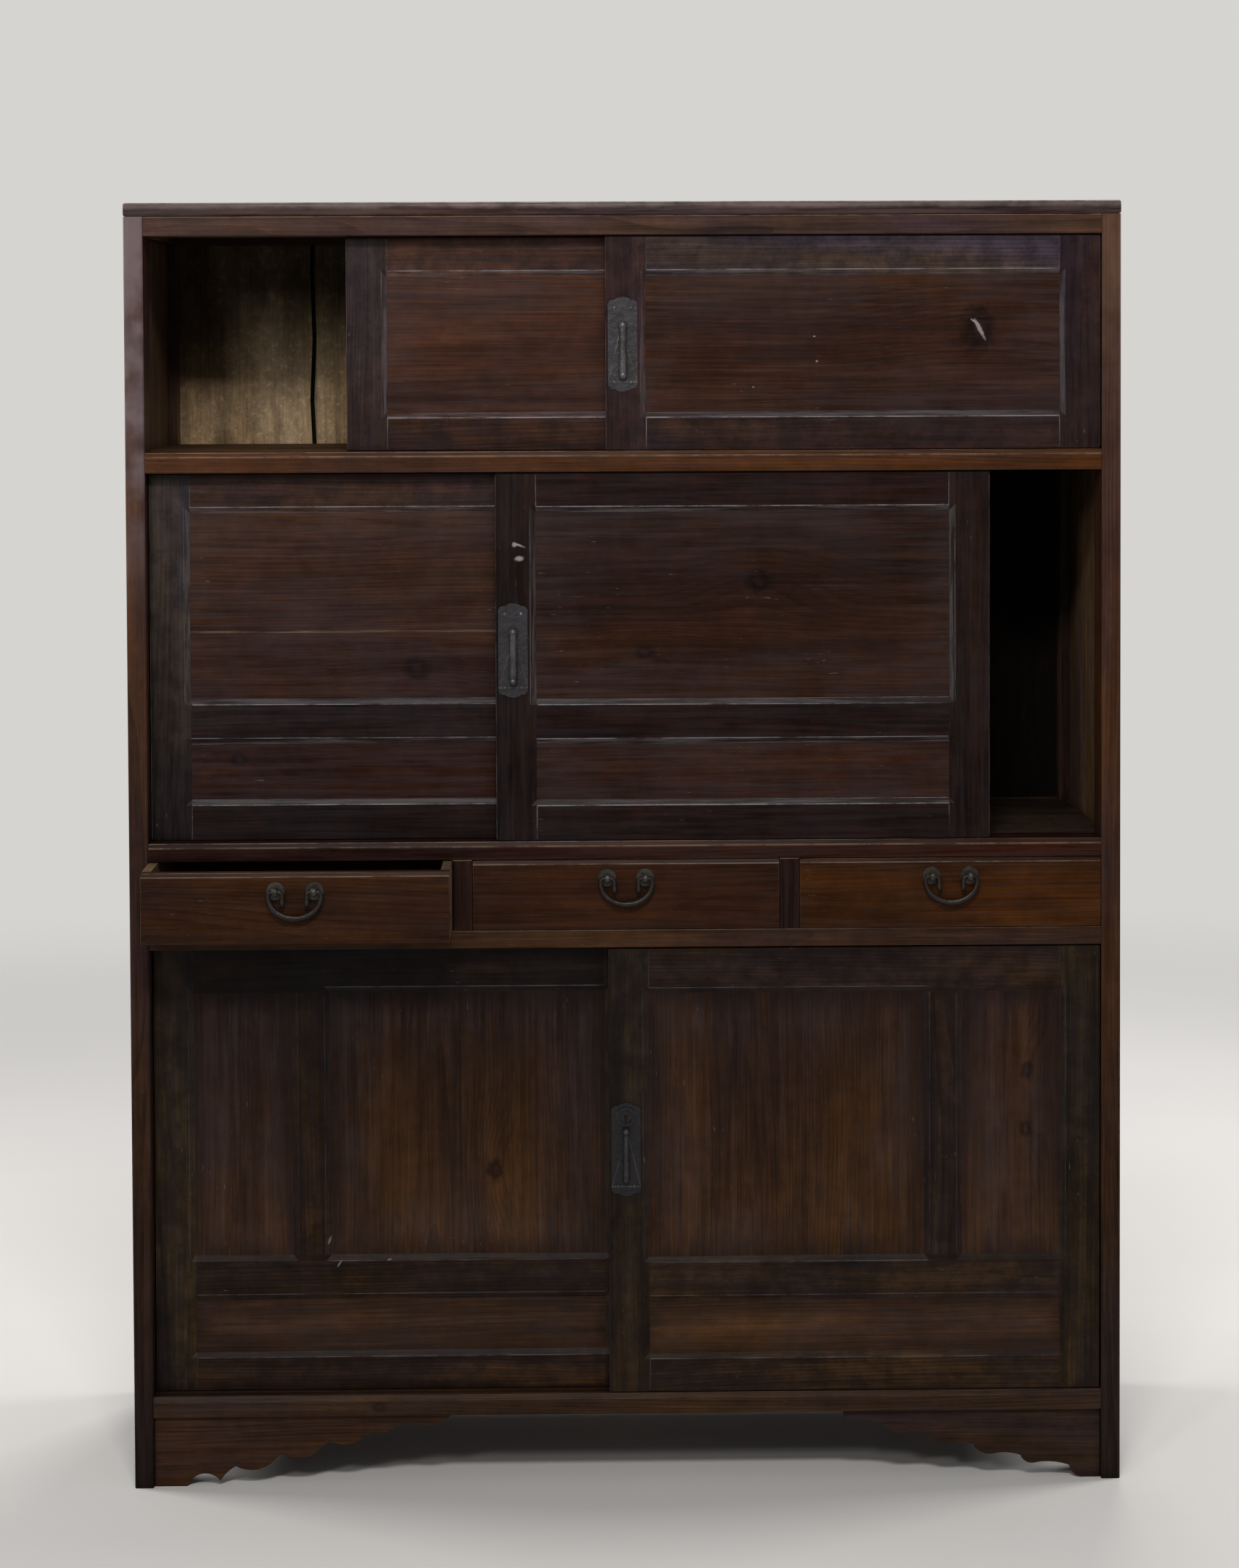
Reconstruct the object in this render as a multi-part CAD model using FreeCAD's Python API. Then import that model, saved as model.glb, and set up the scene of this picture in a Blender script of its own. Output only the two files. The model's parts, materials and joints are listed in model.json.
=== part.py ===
import FreeCAD, Part
import math
import os

# A mizuya: a free-standing kitchen cabinet with three tiers of sliding frame-and-panel doors and a row
# of three drawers. Lengths are millimetres, +X is to the right, +Y to the back and +Z up. The origin
# lies on the floor, in the middle of the space that the cabinet takes up with its left drawer drawn out.

# Carcass
carcass_width = 1200.0
carcass_depth = 410.0
bracket_height = 85.5
base_rail_height = 25.0
lower_opening_height = 546.5
drawer_sill_height = 21.5
drawer_opening_height = 86.0
middle_sill_height = 22.0
middle_opening_height = 447.5
upper_sill_height = 25.0
upper_opening_height = 260.0
head_rail_height = 23.5
top_board_thickness = 16.5
top_board_bevel_height = 4.0
top_board_bevel_depth = 2.5
post_width = 23.0
front_post_depth = 62.0
rear_post_depth = 40.0
post_arris = 1.5
rail_setback = 1.0
sill_bevel_height = 6.0
sill_bevel_depth = 2.5
rail_tenon_height = 9.0
rail_tenon_depth = 36.0
stub_tenon_length = 12.0
stub_tenon_height = 9.0
stub_tenon_width = 8.0
rear_rail_depth = 26.0
shelf_thickness = 9.0
shelf_rebate = 8.0
bearer_width = 24.0
bearer_height = 12.0
bearer_stub = 8.0
bearer_stub_height = 6.0
side_panel_thickness = 7.0
side_panel_inset = 5.0
side_groove_depth = 6.0
panel_room = 1.0
board_joint_bevel = 1.2
back_board_thickness = 8.0
back_board_rebate = 10.0
back_board_count = 6
first_back_board_width = 185.0
back_board_lap = 10.0
back_board_crack = 5.5
back_board_crack_wander = 5.0
crack_height_shares = (0.0, 0.16, 0.33, 0.52, 0.69, 0.78, 0.845, 0.9, 0.955, 1.0)
crack_wander_shares = (0.1, 0.5, 0.2, 0.7, 0.3, 0.9, 0.1, 0.8, 0.3, 0.5)
peg_radius = 3.5
peg_sides = 8
peg_depth = 12.0
peg_count = 5
peg_end_distance = 11.5

# Brackets under the base rail
bracket_thickness = 12.0
bracket_setback = 7.0
left_bracket_length = 362.0
right_bracket_length = 314.0
# Outlines from the foot to the tip: along the bracket, and up from the floor, as shares of its size
left_bracket_shares = (
    (0.110, 0.0), (0.221, 0.07), (0.273, 0.28), (0.398, 0.34), (0.428, 0.445), (0.550, 0.49),
    (0.594, 0.63), (0.693, 0.655), (0.749, 0.76), (0.796, 0.795), (0.884, 0.877), (1.0, 1.0),
)
right_bracket_shares = (
    (0.070, 0.0), (0.121, 0.175), (0.264, 0.21), (0.312, 0.327), (0.42, 0.35), (0.497, 0.49),
    (0.602, 0.515), (0.666, 0.65), (0.761, 0.675), (0.844, 0.784), (1.0, 0.866), (1.0, 1.0),
)
foot_arch_sag_share = 0.30
cusp_run_sag_share = 0.07
cusp_rise_sag_share = -0.16

# Sliding doors
door_overlap = 45.0
door_shut_gap = 1.5
door_thickness = 20.0
door_setback = 5.0
door_passing_gap = 3.0
tongue_thickness = 12.0
tongue_side_clearance = 0.5
sill_groove_depth = 3.0
head_groove_depth = 10.0
door_bottom_gap = 1.2
door_top_gap = 2.5
head_tongue_engagement = 6.0
stile_width = 49.0
upper_door_bottom_rail = 46.0
upper_door_top_rail = 46.5
middle_door_bottom_rail = 49.0
middle_door_low_panel = 67.0
middle_door_middle_rail = 55.5
middle_door_top_rail = 46.5
lower_door_bottom_rail = 47.0
lower_door_low_panel = 63.5
lower_door_middle_rail = 55.0
lower_door_top_rail = 55.0
muntin_width = 47.0
muntin_from_edge = 191.0
muntin_stub = 12.0
door_panel_thickness = 6.0
panel_groove_depth = 8.0
panel_bevel_width = 7.0
panel_bevel_depth = 3.0
door_tenon_thickness = 7.0
tenon_inner_shoulder = 10.0
tenon_outer_shoulder = 8.0
split_panel_share = 0.36
upper_left_door_open = 240.0
middle_right_door_open = 134.0

# Drawers
divider_width = 24.0
divider_depth = 40.0
divider_stub = 6.0
divider_stub_share = 0.5
divider_spacing = 396.4
guide_height = 30.0
drawer_stop_clearance = 1.0
drawer_setback = 1.5
drawer_side_clearance = 0.5
drawer_top_gap = 1.0
drawer_front_rise = 0.5
drawer_front_thickness = 18.0
drawer_bevel_height = 5.0
drawer_bevel_depth = 2.5
drawer_side_thickness = 11.0
drawer_back_thickness = 10.0
drawer_bottom_thickness = 6.0
drawer_bottom_rise = 6.0
drawer_groove_depth = 5.0
drawer_back_dado = 4.0
dovetail_length = 12.0
dovetail_flare = 2.0
dovetail_count = 3
dovetail_share = 0.55
left_drawer_out = 90.0

# Drawer handles
handle_pitch = 46.0
handle_drop_share = 0.255
handle_head_radius = 6.0
handle_head_width = 7.0
handle_head_rounding = 1.8
handle_eye_clearance = 0.1
handle_side_play = 0.4
handle_standoff = 9.0
handle_shank_radius = 2.5
handle_leg_length = 10.0
handle_leg_width = 3.0
handle_leg_thickness = 1.2
rosette_radius = 11.0
rosette_thickness = 1.6
rosette_bevel = 1.0
bail_end_radius = 2.4
bail_middle_radius = 3.8
bail_curl_radius = 4.5
bail_tip_length = 10.0
bail_tip_radius = 3.0
# The tip below the curl: down its length, and its radius as a share of the widest
bail_tip_shares = ((0.55, 0.85), (0.85, 1.0), (1.1, 0.85), (1.25, 0.5))
bail_bow_depth_share = 0.86
bail_sides = 12
bail_bow_steps = 8
bail_curl_steps = 4

# Door pulls
pull_width = 35.5
pull_height = 114.5
pull_thickness = 1.5
pull_shoulder_height = 12.0
pull_shoulder_bulge_height = 5.5
pull_shoulder_bulge_share = 0.91
pull_crown_height = 3.5
pull_crown_share = 0.56
pull_pivot_height = 80.0
upper_pull_height = 71.0
middle_pull_height = 174.5
lower_pull_height = 241.5
pivot_standoff = 4.0
pivot_pin_radius = 1.2
pivot_pin_clearance = 0.05
ear_radius = 2.6
ear_thickness = 2.2
ear_gap = 0.3
tang_width = 3.6
tang_radius = 2.3
bar_back_clearance = 0.4
bar_back_thickness = 1.2
bar_rest_gap = 0.05
bar_length = 60.0
bar_head_radius = 5.4
bar_neck_radius = 4.2
bar_foot_radius = 4.6
bar_ball_radius = 5.2
slim_bar_head_radius = 4.4
slim_bar_neck_radius = 2.6
slim_bar_foot_radius = 3.6
slim_bar_ball_radius = 4.2
# Outlines of a bar's two round ends: along the axis and out from it, as shares of the end's radius
bar_top_shares = ((-1.0, 0.4), (-0.6, 0.8), (0.0, 1.0), (0.6, 0.8))
bar_ball_shares = ((-0.6, 0.8), (0.0, 1.0), (0.6, 0.8), (1.0, 0.4))
key_ring_outer_radius = 12.0
key_ring_inner_radius = 8.0
key_ring_height = 2.0
key_ring_rise = 17.5
keyhole_radius = 2.4
keyhole_slot_width = 2.4
keyhole_slot_length = 6.0

# Levels, from the floor up
base_rail_top = bracket_height + base_rail_height
drawer_sill_bottom = base_rail_top + lower_opening_height
drawer_sill_top = drawer_sill_bottom + drawer_sill_height
middle_sill_bottom = drawer_sill_top + drawer_opening_height
middle_sill_top = middle_sill_bottom + middle_sill_height
upper_sill_bottom = middle_sill_top + middle_opening_height
upper_sill_top = upper_sill_bottom + upper_sill_height
head_rail_bottom = upper_sill_top + upper_opening_height
head_rail_top = head_rail_bottom + head_rail_height
overall_height = head_rail_top + top_board_thickness

# Planes across and from front to back
half_width = carcass_width / 2
inner_half = half_width - post_width
handle_reach = handle_standoff + handle_head_radius
front_reach = left_drawer_out - drawer_setback + handle_reach
front = (front_reach - carcass_depth) / 2
back = front + carcass_depth
front_post_back = front + front_post_depth
rear_post_front = back - rear_post_depth
rail_front = front + rail_setback
rail_back = front_post_back
tenon_front = rail_front + (rail_back - rail_front - rail_tenon_depth) / 2
back_board_front = back - back_board_thickness
rear_rail_front = back_board_front - rear_rail_depth
front_track = front + door_setback
rear_track = front_track + door_thickness + door_passing_gap
tongue_inset = (door_thickness - tongue_thickness) / 2
side_panel_outer = half_width - side_panel_inset
side_panel_inner = side_panel_outer - side_panel_thickness
door_width = (2 * (inner_half - door_shut_gap) + door_overlap) / 2
drawer_length = carcass_depth - back_board_thickness - drawer_stop_clearance - drawer_setback


def vec(x, y, z):
    return FreeCAD.Vector(x, y, z)


def block(x0, x1, y0, y1, z0, z1):
    return Part.makeBox(x1 - x0, y1 - y0, z1 - z0, vec(x0, y0, z0))


def polygon(points):
    return Part.Face(Part.makePolygon(points + [points[0]]))


def xz_prism(outline, y0, y1):
    """An outline seen from the front, from one depth to another."""
    return polygon([vec(x, y0, z) for x, z in outline]).extrude(vec(0, y1 - y0, 0))


def yz_prism(outline, x0, x1):
    """An outline seen from the side, from one X to another."""
    return polygon([vec(x0, y, z) for y, z in outline]).extrude(vec(x1 - x0, 0, 0))


def xy_prism(outline, z0, z1):
    """An outline seen from above, from one height to another."""
    return polygon([vec(x, y, z0) for x, y in outline]).extrude(vec(0, 0, z1 - z0))


def rod(x, y, z, direction, length, radius):
    return Part.makeCylinder(radius, length, vec(x, y, z), direction)


def turned(outline, place, direction):
    """A round piece from its outline: distances along the axis with their radii, and the bore's last."""
    points = [vec(radius, 0, along) for along, radius in outline]
    round_piece = polygon(points).revolve(vec(0, 0, 0), vec(0, 0, 1))
    round_piece.Placement = FreeCAD.Placement(place, FreeCAD.Rotation(vec(0, 0, 1), direction))
    return round_piece


def flats(place, side, across, radius, sides):
    """A ring with flat sides round a point, in the plane of two directions."""
    corners = []
    for i in range(sides + 1):
        turn = 2 * math.pi * (i % sides + 1 / 2) / sides
        corners.append(place + side * (radius * math.cos(turn)) + across * (radius * math.sin(turn)))
    return Part.makePolygon(corners)


def mirrored(shape):
    """The same piece on the other side of the middle plane."""
    return shape.mirror(vec(0, 0, 0), vec(1, 0, 0))


def moved(shape, x, y, z):
    copy = shape.copy()
    copy.translate(vec(x, y, z))
    return copy


def cut_all(shape, tools):
    return shape.cut(list(tools)) if tools else shape


def fuse_all(pieces):
    return pieces[0].multiFuse(pieces[1:]).removeSplitter()


def save(name, pieces):
    shape = pieces[0] if len(pieces) == 1 else Part.makeCompound(pieces)
    shape.exportStep(os.path.join("parts", name + ".step"))


# Front rails with their sliding tracks

def track_groove(track, z0, z1):
    """The space of one track groove along the whole opening."""
    near = track + tongue_inset - tongue_side_clearance
    far = track + door_thickness - tongue_inset + tongue_side_clearance
    return block(-inner_half, inner_half, near, far, z0, z1)


def front_rail(z0, z1, doors_above, doors_below, carries_boards):
    """A front rail with through tenons, its tracks and the rebate for the boards behind it."""
    web_bottom = z0 + head_groove_depth if doors_below else z0
    web_top = z1 - sill_groove_depth if doors_above else z1
    tenon_bottom = (web_bottom + web_top - rail_tenon_height) / 2
    tenon_back = tenon_front + rail_tenon_depth
    tenon_top = tenon_bottom + rail_tenon_height
    tenon = block(-half_width, half_width, tenon_front, tenon_back, tenon_bottom, tenon_top)
    rail = block(-inner_half, inner_half, rail_front, rail_back, z0, z1)
    cuts = []
    if doors_above:
        bevel = [(rail_front, z1 - sill_bevel_height), (rail_front, z1), (rail_front + sill_bevel_depth, z1)]
        cuts.append(yz_prism(bevel, -inner_half, inner_half))
        cuts += [track_groove(track, z1 - sill_groove_depth, z1) for track in (front_track, rear_track)]
    if doors_below:
        cuts += [track_groove(track, z0, z0 + head_groove_depth) for track in (front_track, rear_track)]
    if carries_boards:
        ledge = rail_back - shelf_rebate
        cuts.append(block(-inner_half, inner_half, ledge, rail_back, z1 - shelf_thickness, z1))
    return cut_all(rail, cuts).fuse(tenon).removeSplitter()


# The other rails of each level

def side_rail(z0, z1, carries_boards):
    """The right rail between front and rear post, with a stub tenon at each end."""
    rail = block(inner_half, half_width, front_post_back, rear_post_front, z0, z1)
    middle_x = half_width - post_width / 2
    middle_z = (z0 + z1) / 2
    stub = block(
        middle_x - stub_tenon_width / 2, middle_x + stub_tenon_width / 2,
        front_post_back - stub_tenon_length, rear_post_front + stub_tenon_length,
        middle_z - stub_tenon_height / 2, middle_z + stub_tenon_height / 2,
    )
    rail = rail.fuse(stub).removeSplitter()
    if carries_boards:
        ledge = inner_half + shelf_rebate
        rail = rail.cut(block(inner_half, ledge, front_post_back, rear_post_front, z1 - shelf_thickness, z1))
    return rail


def rear_rail(z0, z1, carries_boards):
    """The rail between the rear posts that the back boards are fixed to."""
    rail = block(-inner_half, inner_half, rear_rail_front, back_board_front, z0, z1)
    middle_y = (rear_rail_front + back_board_front) / 2
    middle_z = (z0 + z1) / 2
    stub = block(
        -inner_half - stub_tenon_length, inner_half + stub_tenon_length,
        middle_y - stub_tenon_width / 2, middle_y + stub_tenon_width / 2,
        middle_z - stub_tenon_height / 2, middle_z + stub_tenon_height / 2,
    )
    rail = rail.fuse(stub).removeSplitter()
    if carries_boards:
        ledge = rear_rail_front + shelf_rebate
        rail = rail.cut(block(-inner_half, inner_half, rear_rail_front, ledge, z1 - shelf_thickness, z1))
    return rail


# Side panels, in grooves of posts and rails

def side_panel_space(z0, z1, room):
    """The space that a right side panel takes between two rails, tongues included."""
    reach = side_groove_depth + room
    return block(
        side_panel_inner, side_panel_outer,
        front_post_back - reach, rear_post_front + reach, z0 - reach, z1 + reach,
    )


def side_boards(z0, z1, split):
    """The upright boards of one right side panel, with a bevelled joint between them."""
    low = z0 - side_groove_depth
    high = z1 + side_groove_depth
    near = front_post_back - side_groove_depth
    far = rear_post_front + side_groove_depth
    if not split:
        return [block(side_panel_inner, side_panel_outer, near, far, low, high)]
    middle = (near + far) / 2
    bevel = board_joint_bevel

    def board(edge, inward):
        outline = [
            (side_panel_inner, edge), (side_panel_outer, edge),
            (side_panel_outer, middle - inward * bevel), (side_panel_outer - bevel, middle),
            (side_panel_inner + bevel, middle), (side_panel_inner, middle - inward * bevel),
        ]
        return xy_prism(outline, low, high)

    return [board(near, 1), board(far, -1)]


# Boards that lie on the levels, and what bears them

def shelf_boards(z_top):
    """Two boards in the rebates of a level's four rails, notched round the posts."""
    z0 = z_top - shelf_thickness
    front_edge = rail_back - shelf_rebate
    rear_edge = rear_rail_front + shelf_rebate
    wide = inner_half + shelf_rebate
    middle = (front_edge + rear_edge) / 2
    front_board = xy_prism([
        (-inner_half, front_edge), (inner_half, front_edge), (inner_half, rail_back), (wide, rail_back),
        (wide, middle), (-wide, middle), (-wide, rail_back), (-inner_half, rail_back),
    ], z0, z_top)
    rear_board = xy_prism([
        (-wide, middle), (wide, middle), (wide, rear_post_front), (inner_half, rear_post_front),
        (inner_half, rear_edge), (-inner_half, rear_edge), (-inner_half, rear_post_front),
        (-wide, rear_post_front),
    ], z0, z_top)
    return [front_board, rear_board]


def bearer(z_top):
    """The crosspiece under the middle of a level's boards, stubbed into front and rear rail."""
    z1 = z_top - shelf_thickness
    z0 = z1 - bearer_height
    middle = (z0 + z1) / 2
    body = block(-bearer_width / 2, bearer_width / 2, rail_back, rear_rail_front, z0, z1)
    stub = block(
        -bearer_width / 2, bearer_width / 2, rail_back - bearer_stub, rear_rail_front + bearer_stub,
        middle - bearer_stub_height / 2, middle + bearer_stub_height / 2,
    )
    return body.fuse(stub).removeSplitter()


# Posts, boards and brackets of the carcass

def post_blank(y0, y1):
    """The right post before its mortises and grooves, with eased outer arrises."""
    arris = post_arris
    outline = [
        (inner_half, y0 + arris), (inner_half + arris, y0), (half_width - arris, y0),
        (half_width, y0 + arris), (half_width, y1), (inner_half, y1),
    ]
    return xy_prism(outline, 0, head_rail_top)


def rear_post_blank():
    """The right rear post, rebated for the edge of the back boards."""
    post = block(inner_half, half_width, rear_post_front, back, 0, head_rail_top)
    rebate = block(
        inner_half, inner_half + back_board_rebate, back_board_front, back, bracket_height, head_rail_top
    )
    return post.cut(rebate)


def top_board():
    low = overall_height - top_board_bevel_height
    outline = [
        (front, head_rail_top), (back, head_rail_top), (back, overall_height),
        (front + top_board_bevel_depth, overall_height), (front, low),
    ]
    return yz_prism(outline, -half_width, half_width)


def pegs():
    """Whittled pegs through the top board into the head rail and the top rear rail."""
    reach = inner_half - peg_end_distance
    rows = ((rail_front + rail_back) / 2, (rear_rail_front + back_board_front) / 2)
    step = 2 * reach / (peg_count - 1)
    up = vec(0, 0, top_board_thickness + peg_depth)
    feet = [vec(-reach + i * step, y, head_rail_top - peg_depth) for y in rows for i in range(peg_count)]
    rings = [flats(foot, vec(1, 0, 0), vec(0, 1, 0), peg_radius, peg_sides) for foot in feet]
    return [Part.Face(ring).extrude(up) for ring in rings]


def crack_edge(x):
    """The wandering edge beside the open joint between the first two back boards."""
    rise = head_rail_top - bracket_height
    return [
        (x + back_board_crack_wander * wander, bracket_height + rise * height)
        for height, wander in zip(crack_height_shares, crack_wander_shares)
    ]


def back_boards():
    """Upright boards with half laps. The front halves of the first joint stand apart."""
    reach = inner_half + back_board_rebate
    rest = (2 * reach - first_back_board_width) / (back_board_count - 1)
    seams = [-reach] + [-reach + first_back_board_width + i * rest for i in range(back_board_count)]
    lap_plane = (back_board_front + back) / 2
    low = bracket_height
    high = head_rail_top
    boards = []
    for i in range(back_board_count):
        left = [(seams[i], low), (seams[i], high)]
        right = [(seams[i + 1], low), (seams[i + 1], high)]
        if i == 0:
            right = crack_edge(seams[1] - back_board_crack_wander)
        if i == 1:
            left = crack_edge(seams[1] - back_board_crack_wander + back_board_crack)
        front_half = xz_prism(left + right[::-1], back_board_front, lap_plane)
        rear_left = seams[i] if i == 0 else seams[i] + back_board_lap
        rear_right = seams[i + 1] if i == back_board_count - 1 else seams[i + 1] + back_board_lap
        rear_half = block(rear_left, rear_right, lap_plane, back, low, high)
        boards.append(front_half.fuse(rear_half).removeSplitter())
    return boards


def bracket(length, shares, arched_foot):
    """A cusped bracket from a post's inner side, its steps cut as shallow and bulging arcs."""
    points = [(length * along, bracket_height * up) for along, up in shares]
    corners = [(0, bracket_height), (0, 0)] + points
    y0 = front + bracket_setback

    def place(point):
        return vec(point[0] - inner_half, y0, point[1])

    edges = [Part.LineSegment(place(a), place(b)).toShape() for a, b in zip(corners[:2], corners[1:3])]
    for i, (a, b) in enumerate(zip(points, points[1:])):
        run = i % 2 == 1 or (arched_foot and i == 0)
        sag = cusp_run_sag_share if run else cusp_rise_sag_share
        if arched_foot and i == 0:
            sag = foot_arch_sag_share
        if a[0] == b[0]:
            edges.append(Part.LineSegment(place(a), place(b)).toShape())
            continue
        middle = ((a[0] + b[0]) / 2 - sag * (b[1] - a[1]), (a[1] + b[1]) / 2 + sag * (b[0] - a[0]))
        edges.append(Part.Arc(place(a), place(middle), place(b)).toShape())
    edges.append(Part.LineSegment(place(points[-1]), place(corners[0])).toShape())
    return Part.Face(Part.Wire(edges)).extrude(vec(0, bracket_thickness, 0))


# Drawer dividers and guides

def divider(x):
    reach = divider_width / 2
    rear = rail_front + divider_depth
    body = block(x - reach, x + reach, rail_front, rear, drawer_sill_top, middle_sill_bottom)
    stub_reach = reach * divider_stub_share
    inset = divider_depth * (1 - divider_stub_share) / 2
    low = drawer_sill_top - divider_stub
    high = middle_sill_bottom + divider_stub
    stub = block(x - stub_reach, x + stub_reach, rail_front + inset, rear - inset, low, high)
    return body.fuse(stub).removeSplitter()


def drawer_guides():
    """Strips on the deck behind the dividers and along the sides that keep the drawers straight."""
    z0 = drawer_sill_top
    z1 = z0 + guide_height
    reach = divider_width / 2
    strips = [
        block(x - reach, x + reach, rail_front + divider_depth, rear_rail_front, z0, z1)
        for x in (-divider_spacing / 2, divider_spacing / 2)
    ]
    side = block(inner_half, side_panel_inner, front_post_back, rear_post_front, z0, z1)
    return strips + [side, mirrored(side)]


# Sliding doors

def door_tongue(x0, x1, track, z0, z1):
    """The part of a door's edge that runs in a track groove."""
    return block(x0, x1, track + tongue_inset, track + door_thickness - tongue_inset, z0, z1)


def panel_space(opening, track, room):
    """The space of a door panel with its edges in the grooves of the frame."""
    x0, x1, z0, z1 = opening
    reach = panel_groove_depth + room
    face = track + panel_bevel_depth
    return block(x0 - reach, x1 + reach, face, face + door_panel_thickness, z0 - reach, z1 + reach)


def bevel_space(opening, track):
    """The bevel round a panel: from the frame's face in to the panel, mitred at the corners."""
    x0, x1, z0, z1 = opening

    def ring(spread, y):
        corners = [
            vec(x0 - spread, y, z0 - spread), vec(x1 + spread, y, z0 - spread),
            vec(x1 + spread, y, z1 + spread), vec(x0 - spread, y, z1 + spread),
        ]
        return Part.makePolygon(corners + [corners[0]])

    return Part.makeLoft([ring(panel_bevel_width, track), ring(0, track + panel_bevel_depth)], True, True)


def panel_boards(opening, track, split):
    """One board, or two with a bevelled joint where the panel is split."""
    x0, x1, z0, z1 = opening
    reach = panel_groove_depth
    face = track + panel_bevel_depth
    rear = face + door_panel_thickness
    if not split:
        return [block(x0 - reach, x1 + reach, face, rear, z0 - reach, z1 + reach)]
    seam = z0 + (z1 - z0) * split_panel_share
    bevel = board_joint_bevel

    def board(edge, outward):
        joint = [(rear, seam), (face + bevel, seam), (face, seam + outward * bevel)]
        return yz_prism([(face, edge), (rear, edge)] + joint, x0 - reach, x1 + reach)

    return [board(z0 - reach, -1), board(z1 + reach, 1)]


def door(left, track, sill, head, heights, muntin_x=None, split=False):
    """A frame-and-panel door. heights alternate rail, panel, rail from the bottom; None fills up."""
    right = left + door_width
    bottom = sill + door_bottom_gap
    top = head - door_top_gap
    known = sum(height for height in heights if height is not None)
    heights = [top - bottom - known if height is None else height for height in heights]
    levels = [bottom]
    for height in heights:
        levels.append(levels[-1] + height)
    rail_spans = list(zip(levels[0::2], levels[1::2]))
    panel_spans = list(zip(levels[1::2], levels[2::2]))
    inner_left = left + stile_width
    inner_right = right - stile_width
    tongue_foot = sill - sill_groove_depth
    tongue_head = head + head_tongue_engagement
    openings = [(inner_left, inner_right, low, high) for low, high in panel_spans]
    if muntin_x is not None:
        low, high = panel_spans[-1]
        edges = (inner_left, muntin_x - muntin_width / 2, muntin_x + muntin_width / 2, inner_right)
        openings = openings[:-1] + [(edges[0], edges[1], low, high), (edges[2], edges[3], low, high)]
    hollows = [panel_space(opening, track, panel_room) for opening in openings]
    hollows += [bevel_space(opening, track) for opening in openings]
    tenon_near = track + (door_thickness - door_tenon_thickness) / 2
    tenon_far = tenon_near + door_tenon_thickness
    rear = track + door_thickness

    rails = []
    for low, high in rail_spans:
        tenon_low = low + (tenon_outer_shoulder if low == levels[0] else tenon_inner_shoulder)
        tenon_high = high - (tenon_outer_shoulder if high == levels[-1] else tenon_inner_shoulder)
        rail = block(inner_left, inner_right, track, rear, low, high)
        pieces = [rail, block(left, right, tenon_near, tenon_far, tenon_low, tenon_high)]
        if low == levels[0]:
            pieces.append(door_tongue(inner_left, inner_right, track, tongue_foot, low))
        if high == levels[-1]:
            pieces.append(door_tongue(inner_left, inner_right, track, high, tongue_head))
        rails.append(fuse_all(pieces))

    stiles = []
    for x0, x1 in ((left, inner_left), (inner_right, right)):
        stile = fuse_all([
            block(x0, x1, track, rear, bottom, top), door_tongue(x0, x1, track, tongue_foot, tongue_head),
        ])
        stiles.append(cut_all(stile, rails + hollows))

    muntins = []
    if muntin_x is not None:
        low, high = panel_spans[-1]
        reach = muntin_width / 2 - tenon_inner_shoulder
        stub = block(
            muntin_x - reach, muntin_x + reach, tenon_near, tenon_far, low - muntin_stub, high + muntin_stub
        )
        body = block(muntin_x - muntin_width / 2, muntin_x + muntin_width / 2, track, rear, low, high)
        muntins.append(cut_all(fuse_all([body, stub]), hollows))
    rails = [cut_all(rail, hollows + muntins) for rail in rails]

    panels = []
    for i, opening in enumerate(openings):
        panels += panel_boards(opening, track, split and i == len(openings) - 1)
    return stiles, rails + muntins, panels


# Door pulls

def pull_outline(z0):
    """An iron plate with a crown between two round shoulders at each end, from its lower edge's height."""
    half = pull_width / 2
    crown = half * pull_crown_share
    bulge = half * pull_shoulder_bulge_share
    edges = []
    for end, inward in ((z0 + pull_height, -1), (z0, 1)):
        cusp_z = end + inward * pull_crown_height
        bulge_z = end + inward * pull_shoulder_bulge_height
        shoulder_z = end + inward * pull_shoulder_height
        edges.append(Part.Arc(vec(-crown, 0, cusp_z), vec(0, 0, end), vec(crown, 0, cusp_z)).toShape())
        for side in (1, -1):
            edges.append(Part.Arc(
                vec(side * crown, 0, cusp_z), vec(side * bulge, 0, bulge_z), vec(side * half, 0, shoulder_z)
            ).toShape())
    for side in (half, -half):
        low = vec(side, 0, z0 + pull_shoulder_height)
        high = vec(side, 0, z0 + pull_height - pull_shoulder_height)
        edges.append(Part.LineSegment(low, high).toShape())
    return Part.Face(Part.Wire(Part.__sortEdges__(edges)))


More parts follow.
